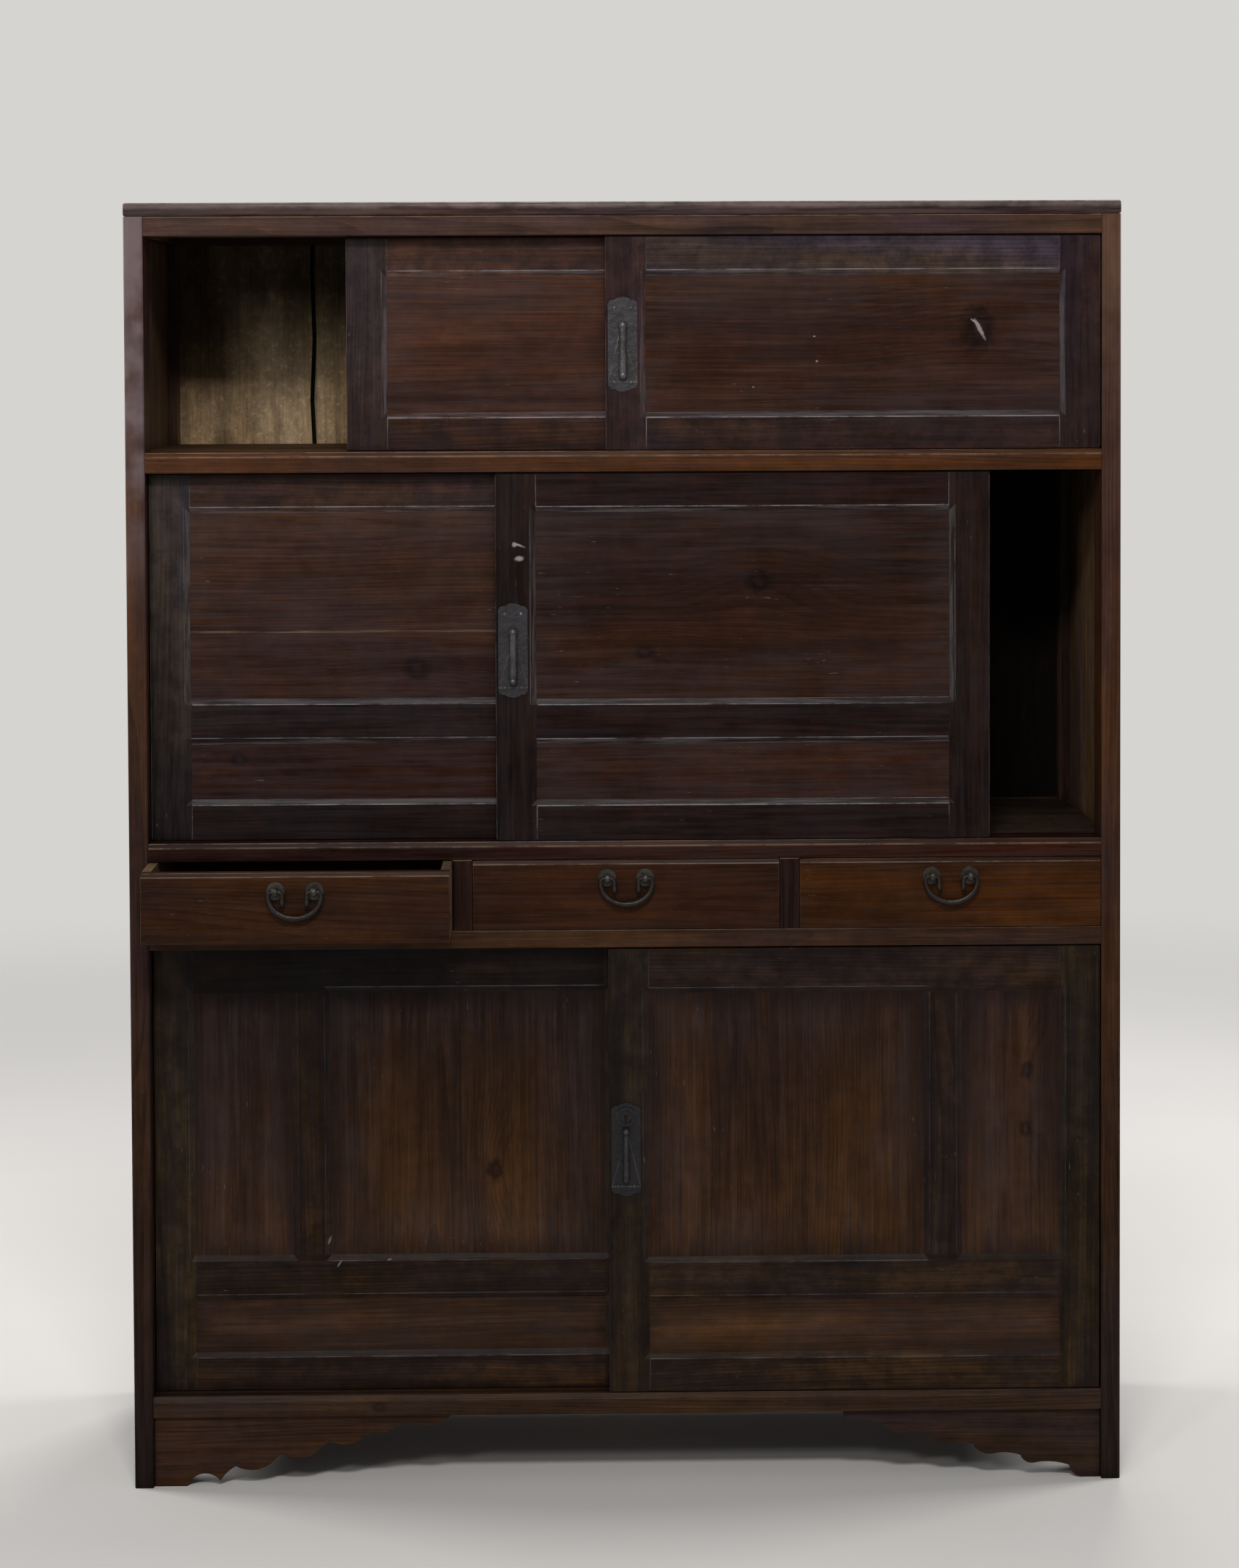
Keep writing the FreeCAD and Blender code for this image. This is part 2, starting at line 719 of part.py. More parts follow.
def pull_plate(x, face, z0, keyed):
    """The plate, with the ears that the drop bar hangs between, and a key ring on the keyed one."""
    plate = pull_outline(z0).extrude(vec(0, -pull_thickness, 0))
    pivot_y = -pull_thickness - pivot_standoff
    pivot_z = z0 + pull_pivot_height
    pieces = [plate]
    for side in (1, -1):
        inner = side * (tang_width / 2 + ear_gap)
        outer = inner + side * ear_thickness
        near = min(inner, outer)
        pieces.append(rod(near, pivot_y, pivot_z, vec(1, 0, 0), ear_thickness, ear_radius))
        low = pivot_z - ear_radius
        high = pivot_z + ear_radius
        pieces.append(block(near, near + ear_thickness, pivot_y, -pull_thickness, low, high))
    hole_radius = pivot_pin_radius + pivot_pin_clearance
    cuts = [rod(-pull_width, pivot_y, pivot_z, vec(1, 0, 0), 2 * pull_width, hole_radius)]
    if keyed:
        ring_z = pivot_z + key_ring_rise
        outward = vec(0, -1, 0)
        pieces.append(rod(0, -pull_thickness, ring_z, outward, key_ring_height, key_ring_outer_radius))
        cuts.append(rod(0, -pull_thickness, ring_z, outward, key_ring_height, key_ring_inner_radius))
        cuts.append(rod(0, 0, ring_z, outward, pull_thickness, keyhole_radius))
        half_slot = keyhole_slot_width / 2
        cuts.append(block(-half_slot, half_slot, -pull_thickness, 0, ring_z - keyhole_slot_length, ring_z))
    return moved(cut_all(fuse_all(pieces), cuts), x, face, 0)


def pull_bar(x, face, z0, slim):
    """The drop bar: its pin and head at the top, and the ball at its foot that rests on the plate."""
    head = slim_bar_head_radius if slim else bar_head_radius
    neck = slim_bar_neck_radius if slim else bar_neck_radius
    foot = slim_bar_foot_radius if slim else bar_foot_radius
    ball = slim_bar_ball_radius if slim else bar_ball_radius
    pivot_y = -pull_thickness - pivot_standoff
    pivot_z = z0 + pull_pivot_height
    back_plane = pivot_y - ear_radius - bar_back_clearance
    axis_y = back_plane - bar_back_thickness
    top_place = vec(0, axis_y, pivot_z)
    ball_place = vec(0, -pull_thickness - bar_rest_gap - ball, pivot_z - bar_length)
    along = ball_place - top_place
    top = [(head * share, head * out) for share, out in bar_top_shares]
    end = [(along.Length + ball * share, ball * out) for share, out in bar_ball_shares]
    shaft = [(top[-1][0] + head - neck, neck), (end[0][0] + foot - ball, foot)]
    axis = [(end[-1][0], 0), (top[0][0], 0)]
    round_bar = turned(top + shaft + end + axis, top_place, along)
    notch_foot = pivot_z - ear_radius - bar_back_clearance
    notch = block(-pull_width, pull_width, back_plane, 0, notch_foot, pivot_z + bar_length)
    tang = block(
        -tang_width / 2, tang_width / 2, axis_y, pivot_y, pivot_z - tang_radius, pivot_z + tang_radius
    )
    eye = rod(-tang_width / 2, pivot_y, pivot_z, vec(1, 0, 0), tang_width, tang_radius)
    pin_half = tang_width / 2 + ear_gap + ear_thickness
    pin = rod(-pin_half, pivot_y, pivot_z, vec(1, 0, 0), 2 * pin_half, pivot_pin_radius)
    return moved(fuse_all([round_bar.cut(notch), tang, eye, pin]), x, face, 0)


# Drawers

def dovetails(z0, z1, y_shoulder, x0, x1):
    """The tails at the front end of a drawer side, wider at their ends than at the shoulder."""
    pitch = (z1 - z0) / dovetail_count
    half = pitch * dovetail_share / 2
    tails = []
    for i in range(dovetail_count):
        middle = z0 + pitch * i + pitch / 2
        end = y_shoulder - dovetail_length
        outline = [
            (y_shoulder, middle - half), (y_shoulder, middle + half),
            (end, middle + half + dovetail_flare), (end, middle - half - dovetail_flare),
        ]
        tails.append(yz_prism(outline, x0, x1))
    return tails


def drawer(left, right, out):
    """A drawer between two X, drawn out by the given length: its front, and its four other boards."""
    face = front + drawer_setback - out
    shoulder = face + drawer_front_thickness
    rear = face + drawer_length
    run = drawer_sill_top
    low = run + drawer_front_rise
    high = middle_sill_bottom - drawer_top_gap
    bottom_low = run + drawer_bottom_rise
    bottom_high = bottom_low + drawer_bottom_thickness

    sides = []
    for x0, x1 in ((left, left + drawer_side_thickness), (right - drawer_side_thickness, right)):
        body = block(x0, x1, shoulder, rear, run, high)
        sides.append(fuse_all([body] + dovetails(low, high, shoulder, x0, x1)))

    inner_left = left + drawer_side_thickness
    inner_right = right - drawer_side_thickness
    bottom = block(
        inner_left - drawer_groove_depth, inner_right + drawer_groove_depth,
        shoulder - drawer_groove_depth, rear, bottom_low, bottom_high,
    )
    back_board = block(
        inner_left - drawer_back_dado, inner_right + drawer_back_dado,
        rear - drawer_back_thickness, rear, bottom_high, high,
    )
    bevel_low = high - drawer_bevel_height
    front_outline = [
        (face, low), (shoulder, low), (shoulder, high), (face + drawer_bevel_depth, high), (face, bevel_low),
    ]
    front_board = cut_all(yz_prism(front_outline, left, right), sides + [bottom])
    sides = [cut_all(side, [bottom, back_board]) for side in sides]
    return front_board, sides + [back_board, bottom]


def handle_place(left, right, out):
    """Middle of a drawer's handle: across, the plane of the drawer's face, and the pivot's height."""
    height = middle_sill_bottom - drawer_top_gap - drawer_sill_top - drawer_front_rise
    pivot_z = middle_sill_bottom - drawer_top_gap - height * handle_drop_share
    return (left + right) / 2, front + drawer_setback - out, pivot_z


def handle_bores(x, face, z):
    """The holes in the drawer's front for the handle's two pins."""
    inward = vec(0, 1, 0)
    places = [x + side * handle_pitch / 2 for side in (-1, 1)]
    return [rod(place, face, z, inward, drawer_front_thickness, handle_shank_radius) for place in places]


def handle_mounts(x, face, z):
    """Two split pins with pierced heads, their legs clinched behind the board, and their rosettes."""
    pivot_y = -handle_standoff
    inward = vec(0, 1, 0)
    hole = rod(-handle_head_width, pivot_y, 0, vec(1, 0, 0), 2 * handle_head_width,
               bail_end_radius + handle_eye_clearance)
    half = handle_head_width / 2
    rim = handle_head_radius - handle_head_rounding
    head_outline = [
        (0, rim), (handle_head_rounding, handle_head_radius),
        (handle_head_width - handle_head_rounding, handle_head_radius), (handle_head_width, rim),
        (handle_head_width, 0), (0, 0),
    ]
    head = turned(head_outline, vec(-half, pivot_y, 0), vec(1, 0, 0))
    shank = rod(0, pivot_y, 0, inward, handle_standoff + drawer_front_thickness, handle_shank_radius)
    behind = drawer_front_thickness
    legs = block(
        -handle_leg_width / 2, handle_leg_width / 2, behind, behind + handle_leg_thickness,
        -handle_leg_length, handle_leg_length,
    )
    pin = fuse_all([head, shank, legs]).cut(hole)
    rosette_outline = [
        (0, handle_shank_radius), (0, rosette_radius),
        (rosette_thickness - rosette_bevel, rosette_radius),
        (rosette_thickness, rosette_radius - rosette_bevel), (rosette_thickness, handle_shank_radius),
    ]
    rosette = turned(rosette_outline, vec(0, 0, 0), vec(0, -1, 0))
    places = [x + side * handle_pitch / 2 for side in (-1, 1)]
    return [moved(piece, place, face, z) for piece in (pin, rosette) for place in places]


def bail(x, face, z):
    """The drop handle, forged with flats: a bow that swells to its middle, curled over the pins to tips."""
    straight = handle_head_width / 2 + handle_side_play
    turn_out = handle_pitch / 2 + straight
    turn_in = handle_pitch / 2 - straight
    curl = bail_curl_radius
    bow_half = turn_out + curl
    bow_depth = bow_half * bail_bow_depth_share
    quarter = math.pi / 2
    # From the middle of the bow to the right tip: place across and up, angle of travel, and radius
    stations = []
    for i in range(bail_bow_steps + 1):
        turn = quarter * i / bail_bow_steps
        travel = math.atan2(bow_depth * math.sin(turn), bow_half * math.cos(turn))
        radius = bail_end_radius + (bail_middle_radius - bail_end_radius) * math.cos(turn)
        stations.append((bow_half * math.sin(turn), -curl - bow_depth * math.cos(turn), travel, radius))
    for centre, start in ((turn_out, 0), (turn_in, quarter)):
        first = 1 if start == 0 else 0
        for i in range(first, bail_curl_steps + 1):
            turn = start + quarter * i / bail_curl_steps
            place = (centre + curl * math.cos(turn), curl * math.sin(turn) - curl)
            stations.append((place[0], place[1], turn + quarter, bail_end_radius))
    down = 2 * math.pi - quarter
    tip_x = turn_in - curl
    for fall, share in bail_tip_shares:
        stations.append((tip_x, -curl - bail_tip_length * fall, down, bail_tip_radius * share))
    left = [(-across, up, -travel, radius) for across, up, travel, radius in stations[:0:-1]]
    rings = []
    for across, up, travel, radius in left + stations:
        side = vec(-math.sin(travel), 0, math.cos(travel))
        rings.append(flats(vec(across, 0, up), side, vec(0, 1, 0), radius, bail_sides))
    return moved(Part.makeLoft(rings, True, True), x, face - handle_standoff, z)


# The places of what moves

shut_left = -inner_half + door_shut_gap
shut_right = inner_half - door_shut_gap - door_width
upper_heights = (upper_door_bottom_rail, None, upper_door_top_rail)
middle_heights = (
    middle_door_bottom_rail, middle_door_low_panel, middle_door_middle_rail, None, middle_door_top_rail
)
lower_heights = (
    lower_door_bottom_rail, lower_door_low_panel, lower_door_middle_rail, None, lower_door_top_rail
)
left_muntin = shut_left + muntin_from_edge
right_muntin = shut_right + door_width - muntin_from_edge
doors = {
    "upper_left_door": (shut_left + upper_left_door_open, rear_track, upper_sill_top, head_rail_bottom,
                        upper_heights, None, False),
    "upper_right_door": (shut_right, front_track, upper_sill_top, head_rail_bottom,
                         upper_heights, None, False),
    "middle_left_door": (shut_left, rear_track, middle_sill_top, upper_sill_bottom,
                         middle_heights, None, True),
    "middle_right_door": (shut_right - middle_right_door_open, front_track, middle_sill_top,
                          upper_sill_bottom, middle_heights, None, False),
    "lower_left_door": (shut_left, rear_track, base_rail_top, drawer_sill_bottom,
                        lower_heights, left_muntin, False),
    "lower_right_door": (shut_right, front_track, base_rail_top, drawer_sill_bottom,
                         lower_heights, right_muntin, False),
}
pulls = {
    "upper_pull": ("upper_right_door", upper_sill_top + upper_pull_height, False),
    "middle_pull": ("middle_right_door", middle_sill_top + middle_pull_height, False),
    "lower_pull": ("lower_right_door", base_rail_top + lower_pull_height, True),
}
divider_x = divider_spacing / 2
divider_face = divider_x + divider_width / 2
play = drawer_side_clearance
drawers = {
    "left_drawer": (-inner_half + play, -divider_face - play, left_drawer_out),
    "middle_drawer": (-divider_x + divider_width / 2 + play, divider_x - divider_width / 2 - play, 0),
    "right_drawer": (divider_face + play, inner_half - play, 0),
}


def build_carcass():
    """The frame, boards and brackets that stand still."""
    levels = (
        ("base_rail", bracket_height, base_rail_top, True, False, True),
        ("drawer_sill_rail", drawer_sill_bottom, drawer_sill_top, False, True, True),
        ("middle_sill_rail", middle_sill_bottom, middle_sill_top, True, False, True),
        ("upper_sill_rail", upper_sill_bottom, upper_sill_top, True, True, True),
        ("head_rail", head_rail_bottom, head_rail_top, False, True, False),
    )
    front_rails = {level[0]: front_rail(*level[1:]) for level in levels}
    right_rails = [side_rail(level[1], level[2], level[5]) for level in levels]
    rear_rails = [rear_rail(level[1], level[2], level[5]) for level in levels]
    bearers = [bearer(level[2]) for level in levels if level[5]]
    spans = [(low[2], high[1]) for low, high in zip(levels, levels[1:])]
    panels = []
    for z0, z1 in spans:
        panels += side_boards(z0, z1, z0 != drawer_sill_top)
    grooves = [side_panel_space(z0, z1, panel_room) for z0, z1 in spans]
    right_rails = [cut_all(rail, grooves) for rail in right_rails]

    front_tools = list(front_rails.values()) + right_rails + grooves
    right_post = cut_all(post_blank(front, front_post_back), front_tools)
    rear_post = cut_all(rear_post_blank(), rear_rails + right_rails + grooves)
    top_pegs = pegs()
    dividers = [divider(x) for x in (-divider_x, divider_x)]
    fitted = bearers + dividers + top_pegs

    save("top_board", [cut_all(top_board(), top_pegs)])
    save("top_pegs", top_pegs)
    save("front_right_post", [right_post])
    save("front_left_post", [mirrored(right_post)])
    save("rear_posts", [mirrored(rear_post), rear_post])
    for name, rail in front_rails.items():
        save(name, [cut_all(rail, fitted)])
    save("side_rails", right_rails + [mirrored(rail) for rail in right_rails])
    save("rear_rails", [cut_all(rail, fitted) for rail in rear_rails])
    save("right_side_panels", panels)
    save("left_side_panels", [mirrored(panel) for panel in panels])
    save("back_boards", back_boards())
    save("bottom_boards", shelf_boards(base_rail_top))
    save("drawer_deck", shelf_boards(drawer_sill_top))
    save("middle_shelf", shelf_boards(middle_sill_top))
    save("upper_shelf", shelf_boards(upper_sill_top))
    save("shelf_bearers", bearers)
    save("drawer_dividers", dividers)
    save("drawer_guides", drawer_guides())
    save("left_bracket", [bracket(left_bracket_length, left_bracket_shares, True)])
    save("right_bracket", [mirrored(bracket(right_bracket_length, right_bracket_shares, False))])


def build_doors():
    for name, (left, track, sill, head, heights, muntin_x, split) in doors.items():
        stiles, rails, panels = door(left, track, sill, head, heights, muntin_x, split)
        save(name + "_stiles", stiles)
        save(name + "_rails", rails)
        save(name + "_panels", panels)
    for name, (door_name, z0, keyed) in pulls.items():
        left, track = doors[door_name][:2]
        x = left + (stile_width - panel_bevel_width) / 2
        save(name + "_plate", [pull_plate(x, track, z0, keyed)])
        save(name + "_bar", [pull_bar(x, track, z0, keyed)])


def build_drawers():
    for name, (left, right, out) in drawers.items():
        x, face, z = handle_place(left, right, out)
        front_board, box = drawer(left, right, out)
        save(name + "_front", [cut_all(front_board, handle_bores(x, face, z))])
        save(name + "_box", box)
        save(name + "_handle_pins", handle_mounts(x, face, z))
        save(name + "_bail", [bail(x, face, z)])


os.makedirs("parts", exist_ok=True)
build_carcass()
build_doors()
build_drawers()
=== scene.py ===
import json
import math
import random
import bpy
import bmesh
from mathutils import Matrix, Vector, noise


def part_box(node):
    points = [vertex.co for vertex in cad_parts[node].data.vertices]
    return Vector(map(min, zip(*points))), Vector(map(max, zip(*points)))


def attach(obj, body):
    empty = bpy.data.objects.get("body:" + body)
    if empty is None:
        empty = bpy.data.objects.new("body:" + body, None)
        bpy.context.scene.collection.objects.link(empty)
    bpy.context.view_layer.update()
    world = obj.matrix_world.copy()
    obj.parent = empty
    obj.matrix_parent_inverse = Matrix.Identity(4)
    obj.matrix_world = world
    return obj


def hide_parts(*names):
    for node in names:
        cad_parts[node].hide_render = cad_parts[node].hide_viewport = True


# The looks of a mizuya kitchen cabinet on its frame of solid parts. Lengths are metres; +X is to the
# right, +Y to the back, +Z up, and the floor is at zero.

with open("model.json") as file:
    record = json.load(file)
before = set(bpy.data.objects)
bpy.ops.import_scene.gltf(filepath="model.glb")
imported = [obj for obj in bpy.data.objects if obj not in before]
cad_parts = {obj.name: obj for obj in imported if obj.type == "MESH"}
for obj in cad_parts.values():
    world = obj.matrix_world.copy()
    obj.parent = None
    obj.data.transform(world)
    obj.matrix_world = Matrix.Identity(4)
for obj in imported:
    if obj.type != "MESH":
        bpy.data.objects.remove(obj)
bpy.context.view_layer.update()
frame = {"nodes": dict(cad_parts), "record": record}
nodes = frame["nodes"]
record = frame["record"]
body_of_node = {node: body for body, members in record["behaviour"]["bodies"].items() for node in members}
slot_of_node = {row["node"]: row["material_slot"] for row in record["subparts"]}

# Camera, as fitted to the photograph. Its place is in metres, and it looks down a little.
image_height = 2162
focal_pixels = 4951
shift_pixels_x = -34
shift_pixels_y = -404
sensor_height_mm = 36
camera_place = (-0.063, -4.47825, 1.382)
camera_yaw = math.radians(1.148)
camera_pitch = math.radians(2.271)
camera_roll = math.radians(-0.236)

# Floor and background: the floor fades into the background between two distances from the object
floor_radius = 30.0
floor_segments = 96
floor_fade = (1.6, 4.6)
floor_colour = (226, 224, 221)
floor_shade = 4
background_colour = (214, 212, 209)
world_colour = (0.92, 0.95, 1.0, 1)
world_strength = 0.20

# Area lights: place, target, width and height, watts and colour
white = (1.0, 0.98, 0.97)
lights = {
    "left_key": ((-1.15, -3.1, 2.15), (0, 0, 0.95), (0.35, 0.45), 16, white),
    "high_key": ((-0.10, -3.0, 2.95), (0, 0, 0.95), (0.7, 0.4), 52, (1.0, 0.97, 0.94)),
    "left_fill": ((-3.0, 0.8, 1.9), (-0.6, 0.1, 0.8), (1.2, 1.2), 50, white),
    "right_fill": ((3.0, 0.8, 1.9), (0.6, 0.1, 0.8), (1.2, 1.2), 50, white),
    "rear_fill": ((0.8, 3.2, 2.6), (0, 0.25, 0.8), (1.4, 1.0), 60, white),
}

# Arrises: widths of their rounding, the least length, width of face and turn of an edge that gets one, the
# steps of the rounding, and the share of the wear and painted highlight that upright ones take
arris = 0.0010
worn_arris = 0.0016
top_arris = 0.0024
fine_arris = 0.0005
arris_min_length = 0.014
arris_min_face = 0.0022
arris_angle = math.radians(12)
arris_steps = 2
standing_wear_and_highlight = 0.42

# Meshes: the turn under which two faces are one and the distance under which two corners are; the part of
# a normal over which a face looks straight along an axis, or mostly; and how near to the middle of the
# boards the faces of their joint lie
flat_angle = math.radians(0.5)
merge_distance = 1e-6
square_on = 0.9
sideways = 0.7
joint_plane_reach = 1e-4

# Pull plates
plate_thickness = 0.0015
plate_arris = 0.0005

# Forged bails: the angles of the flats that are joined, and how round and how uneven they come out
forge_face_angle = math.radians(40)
forge_shape_angle = math.radians(60)
forge_roundness = 0.6
forge_seed = 1
forge_noise_scale = 160
forge_unevenness = 0.00018

# Bevels round the door panels and along the joint of a split panel, told from other faces by their slope
# and area: least and most slope, least area, and how much of the wear and painted highlight they take
frame_bevels = (0.85, 0.97, 0.0003, 1.0)
joint_bevels = (0.50, 0.90, 0.0001, 2.4)

# The arrises that are finer or more worn than the rest
arris_of_node = {
    "top_pegs": fine_arris, "top_board": top_arris,
    "upper_sill_rail": worn_arris, "middle_sill_rail": worn_arris, "head_rail": worn_arris,
}

# Tones of the wood, low and high on each node, as sRGB; left and right on a node whose tone changes across
tones = {
    "top_board": ((39, 27, 29), (39, 27, 29)),
    "top_pegs": ((60, 44, 38), (60, 44, 38)),
    # The front posts are lighter towards the top: painted light from above, with a painted sheen
    "front_left_post": ((22, 14, 10), (64, 43, 34)),
    "front_right_post": ((22, 17, 16), (70, 45, 31)),
    "rear_posts": ((36, 25, 20), (50, 35, 28)),
    "head_rail": ((58, 43, 43), (58, 43, 43)),
    "upper_sill_rail": ((66, 40, 22), (66, 40, 22)),
    "middle_sill_rail": ((36, 15, 9), (36, 15, 9)),
    "drawer_sill_rail": ((49, 33, 24), (49, 33, 24)),
    "base_rail": ((50, 36, 26), (50, 36, 26)),
    "side_rails": ((42, 29, 23), (58, 40, 33)),
    "left_side_panels": ((44, 29, 22), (58, 38, 29)),
    "right_side_panels": ((44, 29, 22), (58, 38, 29)),
    "rear_rails": ((60, 46, 33), (60, 46, 33)),
    # Back boards: a painted pool of light on the left, painted shade on the right
    "back_boards": ((206, 179, 142), (19, 13, 9)),
    "upper_shelf": ((86, 64, 45), (86, 64, 45)),
    "middle_shelf": ((52, 42, 34), (52, 42, 34)),
    "drawer_deck": ((86, 64, 45), (86, 64, 45)),
    "bottom_boards": ((86, 64, 45), (86, 64, 45)),
    "shelf_bearers": ((90, 68, 48), (90, 68, 48)),
    "drawer_guides": ((104, 80, 56), (104, 80, 56)),
    # Painted shadow of the drawers, darkening the dividers
    "drawer_dividers": ((28, 10, 4), (28, 10, 4)),
    "left_bracket": ((56, 38, 25), (56, 38, 25)),
    "right_bracket": ((44, 33, 31), (44, 33, 31)),
    "upper_left_door_stiles": ((44, 31, 25), (50, 40, 37)),
    "upper_left_door_rails": ((50, 31, 22), (55, 36, 27)),
    "upper_left_door_panels": ((59, 35, 23), (59, 35, 23)),
    # The upper right door is lighter and greyer towards the top: a painted sheen
    "upper_right_door_stiles": ((33, 21, 22), (42, 29, 31)),
    "upper_right_door_rails": ((36, 23, 24), (55, 47, 51)),
    "upper_right_door_panels": ((47, 27, 18), (45, 27, 18)),
    "middle_left_door_stiles": ((14, 9, 8), (47, 43, 44)),
    "middle_left_door_rails": ((22, 10, 5), (43, 30, 29)),
    "middle_left_door_panels": ((33, 12, 3), (51, 35, 31)),
    "middle_right_door_stiles": ((16, 6, 2), (22, 11, 5)),
    "middle_right_door_rails": ((19, 6, 2), (26, 10, 4)),
    "middle_right_door_panels": ((41, 21, 9), (37, 22, 15)),
    # The lower doors darken towards the top: painted shadow under the drawers
    "lower_left_door_stiles": ((42, 35, 26), (35, 29, 21)),
    "lower_left_door_rails": ((50, 36, 25), (20, 14, 11)),
    "lower_left_door_panels": ((66, 46, 28), (28, 17, 14)),
    "lower_right_door_stiles": ((45, 36, 26), (37, 31, 23)),
    "lower_right_door_rails": ((50, 38, 27), (42, 31, 24)),
    "lower_right_door_panels": ((66, 46, 28), (38, 24, 18)),
    "left_drawer_front": ((45, 26, 13), (45, 26, 13)),
    "middle_drawer_front": ((39, 21, 11), (39, 21, 11)),
    "right_drawer_front": ((51, 28, 7), (51, 28, 7)),
    "left_drawer_box": ((102, 84, 66), (102, 84, 66)),
    "middle_drawer_box": ((102, 84, 66), (102, 84, 66)),
    "right_drawer_box": ((102, 84, 66), (102, 84, 66)),
}

# The node with a panel of two boards
split_panel = "middle_left_door_panels"

# The nodes whose inner sides are left without lacquer
inside_raw = ("left_side_panels", "right_side_panels", "side_rails", "rear_posts")

# The nodes whose tone changes from left to right, the shares of their width between which it does, and the
# tone of their rear faces; on the inner faces, a painted pool of light on the left into painted shade on the
# right
tones_across = ("back_boards",)
across_start, across_end = 0.2, 0.7
rear_tone = (112, 91, 70)

# How far the boards of a node differ in tone
usual_spread = (0.9, 1.1)
tone_spread = {"back_boards": (0.78, 1.12)}

# Where a board lies in its log: along it, to one side and away from its heart
log_along = (0, 40)
log_aside = (-0.08, 0.08)
log_out = (0.02, 0.07)

# A door panel at least this tall for its width has upright grain
upright_share = 0.6

# Nails in the back boards and in the pull plates
nail_radius = 0.0030
nail_inset = 0.022
pull_nail_radius = 0.0026
pull_nail_rise = 0.0012
pull_nail_spread = 0.0099
pull_nail_below_top = 0.0135
pull_nail_above_bottom = 0.0115
pull_nail_segments = (14, 8)

# Looks of the wood, by the layers of the shader, with colours as sRGB:
#   rings, fibres, blotches, mottle, specks, flecks: how strongly each of them shows
#   tints: factors for the warmer and the cooler patches
#   painted_top_shade: what is left of the tone above its heights, painted shade at the top of the back
#       boards
#   dust_and_sheen_amount, dust_and_sheen: how much dust lies on the wood, partly a painted sheen, and its
#       colour
#   haze: how strongly the lacquer has dulled near the borders, which then hold dirt too
#   worn_and_highlit, worn_and_highlit_below, bare_and_highlight: wear of the arrises with a painted
#   highlight,
#       its share on those that face down, and bare wood
#   paled, paled_heights: how bare the front is rubbed, and between which heights that sets in; a painted
#       sheen on the left post
#   hollow_shade_reach, seams: how far painted shade reaches out of corners, and how dark dirt lies along the
#       seams
#   roughness, gloss: of the lacquer
lacquer = {
    "rings": 0.38, "fibres": 0.24, "blotches": 0.26, "specks": 0.0, "flecks": 0.0, "dust_and_sheen_amount": 0.10,
    "worn_and_highlit": 0.85, "worn_and_highlit_below": 0.3, "dust_and_sheen": (84, 72, 70), "bare_and_highlight": (124, 114, 106), "roughness": 0.34,
    "gloss": 0.06, "hollow_shade_reach": 0.024, "painted_top_shade": 1.0, "haze": 0.0, "paled": 0.0,
    "paled_heights": (1.5495, 1.5550), "mottle": 0.12,
    "tints": ((1.32, 1.10, 0.60), (0.80, 0.76, 0.94)), "seams": 0.0,
}
# The frames' cool grey film is dust and a painted sheen
frame_look = dict(
    lacquer, blotches=0.36, mottle=0.34, dust_and_sheen_amount=0.16, haze=0.08, dust_and_sheen=(64, 58, 64), bare_and_highlight=(152, 147, 150),
    worn_and_highlit_below=0.8,
)
rail_look = dict(lacquer, dust_and_sheen_amount=0.12, worn_and_highlit=0.85, bare_and_highlight=(140, 114, 92), worn_and_highlit_below=0.1)
# The left post's pale pinkish front above these heights is a painted sheen
left_post_look = dict(rail_look, bare_and_highlight=(138, 124, 129), paled=0.56, paled_heights=(1.04, 1.32))
right_post_look = dict(rail_look, bare_and_highlight=(142, 116, 100), paled=0.20, paled_heights=(1.10, 1.50))
top_look = dict(
    lacquer, dust_and_sheen_amount=0.35, dust_and_sheen=(104, 88, 88), worn_and_highlit=0.9, bare_and_highlight=(168, 150, 144), worn_and_highlit_below=0.0, paled=0.32,
)
panel_look = dict(
    lacquer, rings=0.24, blotches=0.30, dust_and_sheen_amount=0.12, haze=0.16, dust_and_sheen=(92, 84, 86), bare_and_highlight=(176, 150, 120),
    tints=((1.24, 1.07, 0.70), (0.86, 0.82, 0.96)),
)
drawer_look = dict(lacquer, rings=0.42, dust_and_sheen_amount=0.08, worn_and_highlit=0.85, bare_and_highlight=(140, 124, 112), worn_and_highlit_below=0.2)
side_look = dict(lacquer, rings=0.40, dust_and_sheen_amount=0.16, worn_and_highlit=0.4, roughness=0.5, seams=0.45)
aged_look = dict(
    lacquer, rings=0.12, fibres=0.08, blotches=0.42, specks=0.45, flecks=0.5, dust_and_sheen_amount=0.05, worn_and_highlit=0.3,
    roughness=0.7, gloss=0.06, hollow_shade_reach=0.20, tints=((1.08, 1.02, 0.86), (0.94, 0.96, 0.98)),
    seams=0.65,
)
plain_look = dict(
    lacquer, rings=0.40, fibres=0.18, blotches=0.18, specks=0.3, dust_and_sheen_amount=0.05, worn_and_highlit=0.3,
    dust_and_sheen=(120, 104, 86), bare_and_highlight=(170, 148, 120), roughness=0.62, gloss=0.08,
    tints=((1.10, 1.03, 0.84), (0.92, 0.94, 0.98)), seams=0.35,
)
# The back boards' inner faces darken towards the top: painted shade
back_look = dict(aged_look, painted_top_shade=0.30)

# Heights between which painted shade darkens the back boards towards the top, hands have worn the fronts,
# and iron goes from dark to light, the darker iron lower down being painted shade
painted_top_shade_heights = (1.375, 1.475)
handled_heights = (0.62, 0.80)
iron_heights = (0.25, 1.45)

# Colours that all the looks share
haze_colour = (70, 64, 68)
mark_colour = (158, 148, 148)
raw_tone = (106, 87, 72)

